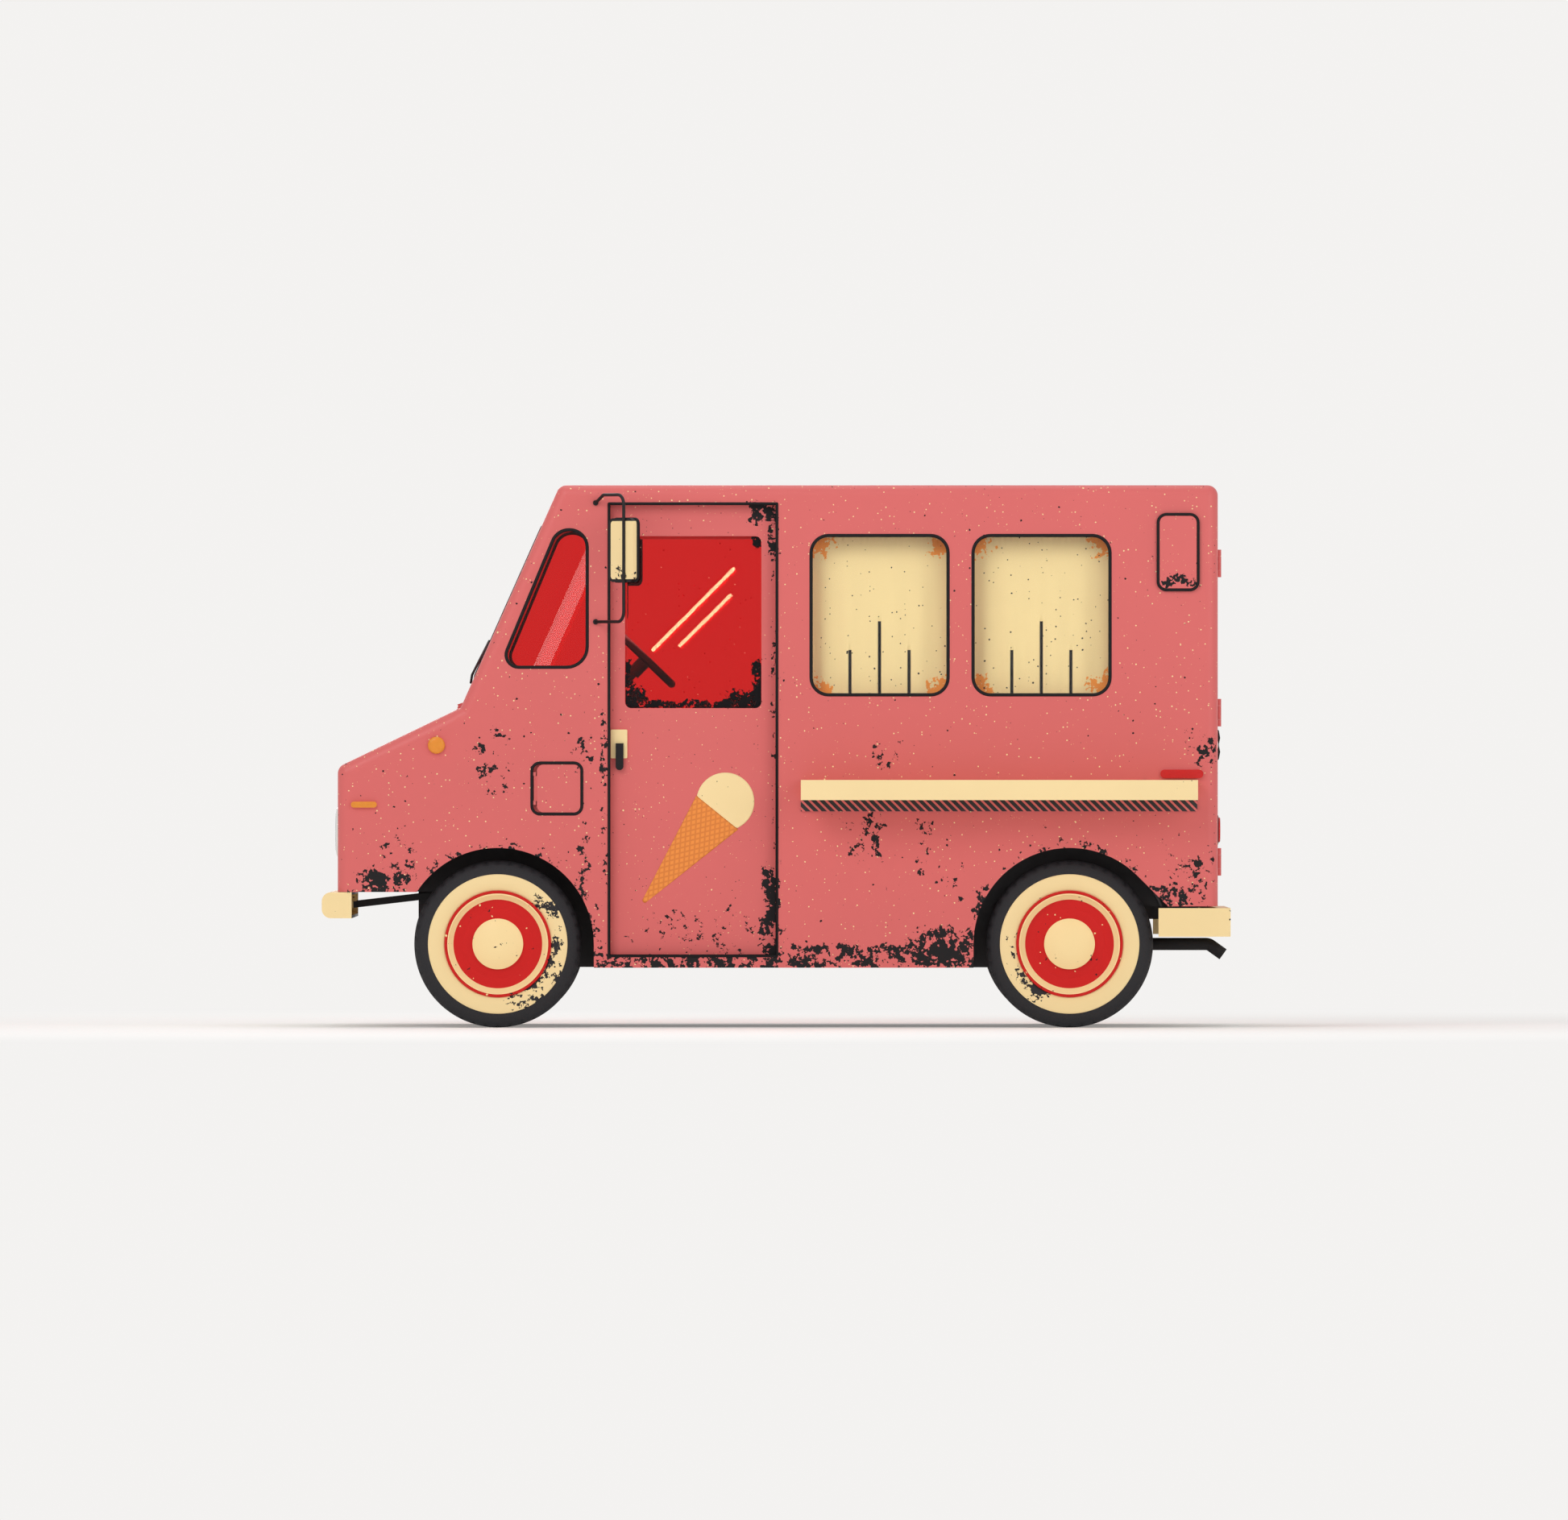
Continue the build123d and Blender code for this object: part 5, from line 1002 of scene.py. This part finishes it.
def add_curtains():
    """Drawn curtains behind the serving windows, in place of the plain ones."""
    for name, side in SIDES:
        for place, window in zip(("front", "rear"), SERVING):
            grid = curtain_grid(*window) * np.array((1, side, 1))
            piece = surface(f"{name}_{place}_curtain", grid, "body", "cloth")
            thicken(piece, CURTAIN_T)
            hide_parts(f"{name}_curtains")


# Cone on the doors, in X and Z

CONE_SHOULDERS = np.array(((0.347, 1.009), (0.165, 0.862)))
CONE_TIP = np.array((0.572, 0.552))
CONE_ALONG = unit(CONE_TIP - CONE_SHOULDERS.mean(axis=0))
CONE_ACROSS = unit(CONE_SHOULDERS[1] - CONE_SHOULDERS[0])
TIP_WIDE = 0.02
TIP_ROUND = 0.008
SCOOP_MIDDLE = np.array((0.221, 0.983))
SCOOP_R = 0.126
PAINT_T = 0.001


def cone_patch():
    """Cone between its two shoulders and its tip: straight lines from the chord to a small round tip."""
    left, right = CONE_SHOULDERS
    down = np.linspace(0, 1, 40)[:, None, None]
    wide = np.linspace(0, 1, 25)[None, :, None]
    top = left + (right - left) * wide
    end = CONE_TIP + CONE_ACROSS * (wide - 0.5) * TIP_WIDE
    end = end + CONE_ALONG * TIP_ROUND * np.sqrt(np.clip(1 - (2 * wide - 1) ** 2, 0, 1))
    return top + (end - top) * down


def scoop_patch():
    """Scoop as a disc cut off straight at the cone: at each angle, the circle or a nearer chord."""
    turn = np.linspace(0, 2 * np.pi, 120, endpoint=False)
    ray = np.stack([np.cos(turn), np.sin(turn)], axis=-1)
    square = np.array((-CONE_ACROSS[1], CONE_ACROSS[0]))
    limit = np.dot(CONE_SHOULDERS[0] - SCOOP_MIDDLE, square)
    slope = ray @ square * np.sign(limit)
    to_chord = np.where(slope > 1e-6, abs(limit) / np.maximum(slope, 1e-6), np.inf)
    reach = np.minimum(SCOOP_R, to_chord)
    return SCOOP_MIDDLE + np.linspace(0, 1, 24)[:, None, None] * (reach[:, None] * ray)[None]


def add_cone():
    """The cone and its scoop as thin raised paint on each door."""
    patches = (("cone", cone_patch(), "waffle", False), ("scoop", scoop_patch(), "cream", True))
    for name, side in SIDES:
        for part, patch, finish, rounded in patches:
            lift = np.full(patch.shape[:2], side * (DOOR_Y + FILM))
            grid = np.stack([patch[..., 0], lift, patch[..., 1]], axis=-1)
            door = f"{name}_door"
            piece = surface(f"{door}_{part}", grid, door, finish, False, rounded)
            map_cone(piece)
            thicken(piece, PAINT_T, 0.0)


def map_cone(piece):
    """Lays a map in metres over a patch, one way across the cone and the other along it."""
    mesh = piece.data
    corner = np.empty(len(mesh.loops), dtype=int)
    mesh.loops.foreach_get("vertex_index", corner)
    place = points_of(mesh)[:, (0, 2)]
    across = np.array((-CONE_ALONG[1], CONE_ALONG[0]))
    flat = np.stack([place @ across, place @ CONE_ALONG], axis=-1)[corner]
    mesh.uv_layers.new(name="cone").data.foreach_set("uv", flat.ravel())


def points_of(mesh):
    """A mesh's points as rows of x, y and z."""
    flat = np.empty(len(mesh.vertices) * 3, dtype=np.float32)
    mesh.vertices.foreach_get("co", flat)
    return flat.reshape(-1, 3).astype(float)


# Seat pads

VOXEL = 0.006
PRESSURE = 4.0
FRAMES = 20
MOST_SWELL = 0.022
CHANNELS = (-0.138, -0.046, 0.046, 0.138)
CHANNEL_HALF = 0.008
CHANNEL_DEPTH = 0.009
SEWN_OVER = 0.03              # the sewing deepens over this much


def pad_grid(half, crown=0.3):
    """Crowned cushion: a rounded box in latitude and longitude, its faces bulging by a share."""
    turn = np.linspace(-np.pi, np.pi, 96, endpoint=False)[None, :]
    rise = np.linspace(-np.pi / 2, np.pi / 2, 48)[:, None]

    def soft(value, power):
        """A power that keeps its sign; below 1 it squares a circle up."""
        return np.sign(value) * np.abs(value) ** power

    x = soft(np.cos(rise), 0.32) * soft(np.cos(turn), 0.3)
    y = soft(np.cos(rise), 0.32) * soft(np.sin(turn), 0.3)
    z = soft(np.sin(rise), 0.4) + 0 * turn
    bulge = 1 - crown * (x ** 2 + y ** 2) / 2
    return np.stack([x * half[0], y * half[1], z * half[2] * bulge], axis=-1)


def swell(pad):
    """Fills a cushion: remeshed evenly and blown up by a short run of cloth, no point past the most swell."""
    scene = bpy.context.scene
    work = add_object("filling", pad.data.copy())

    def result():
        """The mesh that the modifiers give now."""
        work.update_tag()
        return bpy.data.meshes.new_from_object(work.evaluated_get(bpy.context.evaluated_depsgraph_get()))

    even = work.modifiers.new("even", "REMESH")
    even.mode = "VOXEL"
    even.voxel_size = VOXEL
    mesh = result()
    work.modifiers.clear()
    work.data = mesh
    start = points_of(mesh)
    cloth = work.modifiers.new("cloth", "CLOTH")
    cloth.settings.use_pressure = True
    cloth.settings.uniform_pressure_force = PRESSURE
    cloth.settings.effector_weights.gravity = 0.0
    cloth.point_cache.frame_end = FRAMES
    for frame_number in range(1, FRAMES + 1):
        scene.frame_set(frame_number)
    move = points_of(result()) - start
    scene.frame_set(1)
    far = np.linalg.norm(move, axis=1, keepdims=True)
    bpy.data.objects.remove(work)
    mesh.materials.clear()
    mesh.materials.append(pad.data.materials[0])
    mesh.polygons.foreach_set("use_smooth", np.ones(len(mesh.polygons), dtype=bool))
    pad.data = mesh
    return start + move * np.minimum(1.0, MOST_SWELL / np.maximum(far, 1e-9))


def channels(place):
    """Depth of the sewn channels across the seat: narrow valleys that run fore and aft."""
    off = [(place[:, 1] - SEAT_Y - shift) / CHANNEL_HALF for shift in CHANNELS]
    return CHANNEL_DEPTH * np.sum([np.exp(-lane ** 2) for lane in off], axis=0)


def add_seat():
    """Cushion and back rest of the driver's seat, filled as cloth and then sewn."""
    flat = pad_grid((0.235, 0.215, 0.042))
    upright = pad_grid((0.245, 0.215, 0.033))[..., (2, 1, 0)]
    # Name, grid, the way its face points, and where the sewing starts that way
    pads = (
        ("seat_cushion", flat + np.array((0.14, SEAT_Y, 1.124)), 2, 1.1),
        ("seat_back", upright + np.array((-0.066, SEAT_Y, 1.44)), 0, -0.09),
    )
    for name, grid, way, start in pads:
        pad = surface(name, grid, "body", "vinyl", False, True)
        place = swell(pad)
        low, high = grid[..., way].min() - MOST_SWELL / 2, grid[..., way].max() + MOST_SWELL / 2
        face = np.clip((place[:, way] - start) / SEWN_OVER, 0, 1)
        place[:, way] = np.clip(place[:, way], low, high) - channels(place) * face
        pad.data.vertices.foreach_set("co", place.astype(np.float32).ravel())
        pad.data.update()
        smooth = pad.modifiers.new("smooth", "SUBSURF")
        smooth.levels = smooth.render_levels = 1
        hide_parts("seat_pads")


# Small fittings

DOOR_PANE_X = (0.066, 0.655)
DOOR_PANE_Z = (1.391, 2.135)


def add_grime():
    """A film on the outside of each door window, over which the dirt is spread."""
    x, z = np.meshgrid(np.linspace(*DOOR_PANE_X, 24), np.linspace(*DOOR_PANE_Z, 30))
    film = np.stack([x, np.full_like(x, DOOR_GLASS_Y + FILM), z], axis=-1)
    for name, grid in (("left", film), ("right", on_right(film))):
        surface(f"{name}_window_grime", grid, f"{name}_door", "grime")


# Section of the mirror's rim: past the head's edge, and off its middle
MIRROR_RIM = np.array(((-0.01, 0.0045), (0.003, 0.0045), (0.003, 0.0215), (-0.01, 0.0215)))


def add_mirror_trim():
    """Black rim round each mirror's head and a silvered face towards the driver."""
    rim = middle_corners(*MIRROR_HALF, MIRROR_R)
    glass, _ = round_outline(middle_corners(*MIRROR_GLASS))
    glass = np.linspace(0, 1, 6)[:, None, None] * glass[None]
    for name, side in SIDES:
        middle = np.array((MIRROR_BAR[0], side * (MIRROR_BAR[1] - MIRROR_BACK), MIRROR_Z))
        wide = np.array((-math.sin(MIRROR_LEAN), side * math.cos(MIRROR_LEAN), 0.0))
        face = np.array((-math.cos(MIRROR_LEAN), -side * math.sin(MIRROR_LEAN), 0.0))

        def on_head(points):
            """Flat points across and up the head."""
            return middle + points[..., :1] * wide + points[..., 1:] * UP

        rubber(f"{name}_mirror_rim", rim_strip(rim, MIRROR_RIM, on_head, face))
        grid = on_head(glass) + face * MIRROR_GLASS_OFF
        piece = surface(f"{name}_mirror_face", grid, "body", "silver", False, True)
        thicken(piece, 0.001)


# Wiper arm's foot, knee and tip: across and up the screen, and off it
WIPER = ((0.62, 0.115, 0.006), (0.60, 0.15, 0.016), (0.24, 0.315, 0.012))
WIPER_R = 0.0055
BLADE = (-0.22, 0.16)         # the blade's ends, along the arm from its tip
BLADE_R = 0.005
BLADE_BELOW = 0.007           # blade nearer to the glass than the arm


def add_wipers():
    """Wiper arm and blade low on each pane: two round bars a little off the glass."""
    for name, side in SIDES:
        foot, knee, tip = (
            COWL + ACROSS * side * across + SCREEN_UP * up + SCREEN_OUT * off for across, up, off in WIPER
        )
        arm = np.vstack([foot, knee, (knee + tip) / 2, tip])
        blade = tip + np.linspace(*BLADE, 9)[:, None] * unit(tip - knee) - SCREEN_OUT * BLADE_BELOW
        rubber(f"{name}_wiper_arm", tube_grid(arm, WIPER_R), round_rows=False)
        rubber(f"{name}_wiper_blade", tube_grid(blade, BLADE_R), round_rows=False)


def add_lamp_rims():
    """Chrome rims round the headlamps and black rims under the tail lamps."""
    chrome = bead(-0.002, 0.012, -0.004, 0.016)
    black = bead(-0.001, 0.004, -0.003, 0.01)
    for name, side in SIDES:
        mirrored = np.array((1, side, 1))
        grid = ring_grid(HEADLAMP * mirrored, HEADLAMP_R, chrome, 1)
        surface(f"{name}_headlamp_rim", grid, "body", "chrome", True, True)
        rubber(f"{name}_tail_rim", ring_grid(TAIL_LAMP * mirrored, TAIL_LAMP_R, black, -1))


# The handle's path: height, and how far off the door
REAR_HANDLE = ((1.16, 0.0), (1.17, 0.012), (1.2, 0.017), (1.26, 0.017), (1.29, 0.012), (1.3, 0.0))
REAR_HANDLE_Y = 0.055
REAR_HANDLE_R = 0.0065


def add_rear_handle():
    """Handle on the left rear door, near the seam: a round bar along a bent path."""
    z, off = np.array(REAR_HANDLE).T
    path = np.stack([REAR_X - off, np.full(len(z), REAR_HANDLE_Y), z], axis=-1)
    rubber("rear_handle", tube_grid(path, REAR_HANDLE_R), "rear_door_left", round_rows=False)


side_strips()
screen_strips()
rear_strips()
add_tyres()
add_curtains()
add_cone()
add_seat()
add_grime()
add_mirror_trim()
add_wipers()
add_lamp_rims()
add_rear_handle()


# Studio

BACKGROUND = (0.9, 0.888, 0.875, 1.0)
NO_LIGHT = (0.0, 0.0, 0.0, 1.0)
FLOOR_TONE = (0.86, 0.85, 0.84, 1.0)
FLOOR_GLOW = (0.2, 0.196, 0.192, 1.0)
FLOOR_HALF = 200
EYE = np.array((-0.034, 120.925, 1.16375))
FRAME_WIDE = 6.811            # 1946 pixels of 3.5 mm, on the side wall
VAN_MIDDLE = (0, 0, 1.0)

# Name, place, target, size, power
LAMPS = (
    ("key", (4.5, 9.0, 7.5), VAN_MIDDLE, 5.0, 345),
    ("fill", (-6.0, 8.0, 4.0), VAN_MIDDLE, 5.0, 150),
    ("top", (0.0, -1.0, 9.0), VAN_MIDDLE, 6.0, 140),
    ("far", (2.0, -9.5, 5.0), VAN_MIDDLE, 5.0, 170),
    ("cab", (0.45, 0.0, 2.26), (0.45, 0, 0.0), 0.9, 14),
)
# Name, the reflection's two ends in x and z, its width, colour, strength
GLINTS = (
    ("glint_long", ((0.18, 1.999), (0.539, 1.639)), 0.0145, CREAM, 75.0),
    ("glint_short", ((0.195, 1.883), (0.423, 1.657)), 0.0145, CREAM, 75.0),
    ("glint_quarter", ((0.772, 2.124), (1.071, 1.458)), 0.065, (0.82, 1.0, 0.97, 1.0), 8.0),
)


def add_stage(name, corners, finish):
    """A flat four-sided piece of the studio."""
    mesh = bpy.data.meshes.new(name)
    mesh.from_pydata(corners, [], [(0, 1, 2, 3)])
    mesh.materials.append(finish)
    add_object(name, mesh)


def add_floor():
    """Wide pale floor that keeps the van's shadow and goes over into the background, clear from below."""
    finish, g, shader = new_finish("studio_floor")
    far = g.add("ShaderNodeVectorMath", {0: g.place}, operation="LENGTH").outputs["Value"]
    away = g.fade(far, 2.6, 8.0)
    g.fill(shader, {
        "Base Color": g.blend(away, FLOOR_TONE, NO_LIGHT),
        "Emission Color": g.blend(away, FLOOR_GLOW, BACKGROUND),
        "Emission Strength": 1.0,
        "Roughness": 1.0,
        "Specular IOR Level": 0.0,
    })
    clear = g.add("ShaderNodeBsdfTransparent").outputs[0]
    g.show(g.add("ShaderNodeNewGeometry").outputs["Backfacing"], shader.outputs[0], clear)
    corners = [(x * FLOOR_HALF, y * FLOOR_HALF, 0) for x, y in ((-1, -1), (1, -1), (1, 1), (-1, 1))]
    add_stage("studio_floor", corners, finish)


def add_lamp(name, place, target, size, power):
    """A soft square lamp turned to a point."""
    data = bpy.data.lights.new(name, "AREA")
    data.shape = "SQUARE"
    data.size = size
    data.energy = power
    lamp = add_object(name, data)
    lamp.location = place
    lamp.rotation_euler = (Vector(target) - Vector(place)).to_track_quat("-Z", "Y").to_euler()


def add_glint(name, ends, width, colour, strength):
    """A thin bright strip behind the camera, so that its image in the door's glass lies on the given line."""
    far_y = EYE[1] + 2
    ends = np.array([(x, DOOR_GLASS_Y, z) for x, z in ends])
    spread = (far_y - DOOR_GLASS_Y) / (EYE[1] - DOOR_GLASS_Y)
    seen = ends + (ends - EYE) * spread * np.array((1, 0, 1))
    seen[:, 1] = far_y
    side = np.cross(unit(seen[1] - seen[0]), ACROSS) * width * (1 + spread) / 2
    corners = np.array([seen[0] - side, seen[1] - side, seen[1] + side, seen[0] + side])
    finish, g, shader = new_finish(name)
    g.fill(shader, {"Base Color": NO_LIGHT, "Emission Color": colour, "Emission Strength": strength})
    add_stage(name, corners.tolist(), finish)


def light_studio():
    """Even pale surroundings and soft lamps: a key from the upper front, fills, and one inside the cab."""
    world = bpy.data.worlds.new("studio")
    bpy.context.scene.world = world
    world.use_nodes = True
    g = Graph(world.node_tree)
    path = g.add("ShaderNodeLightPath").outputs
    seen = g.largest(*(path[f"Is {kind} Ray"] for kind in ("Camera", "Glossy", "Transmission")))
    strength = g.fade(seen, 0.0, 1.0, 0.55, 1.0)
    g.fill(g.tree.nodes["Background"], {"Color": BACKGROUND, "Strength": strength})
    for lamp in LAMPS:
        add_lamp(*lamp)
    for glint in GLINTS:
        add_glint(*glint)


def add_camera():
    """Level camera square to the left side."""
    data = bpy.data.cameras.new("camera")
    data.sensor_width = 36
    data.lens = data.sensor_width * (EYE[1] - SIDE_Y) / FRAME_WIDE
    data.clip_end = 500
    camera = add_object("camera", data)
    camera.location = EYE
    camera.rotation_euler = (math.radians(90), 0, math.radians(180))
    bpy.context.scene.camera = camera


add_floor()
light_studio()
add_camera()
bpy.context.scene.view_settings.view_transform = "Standard"
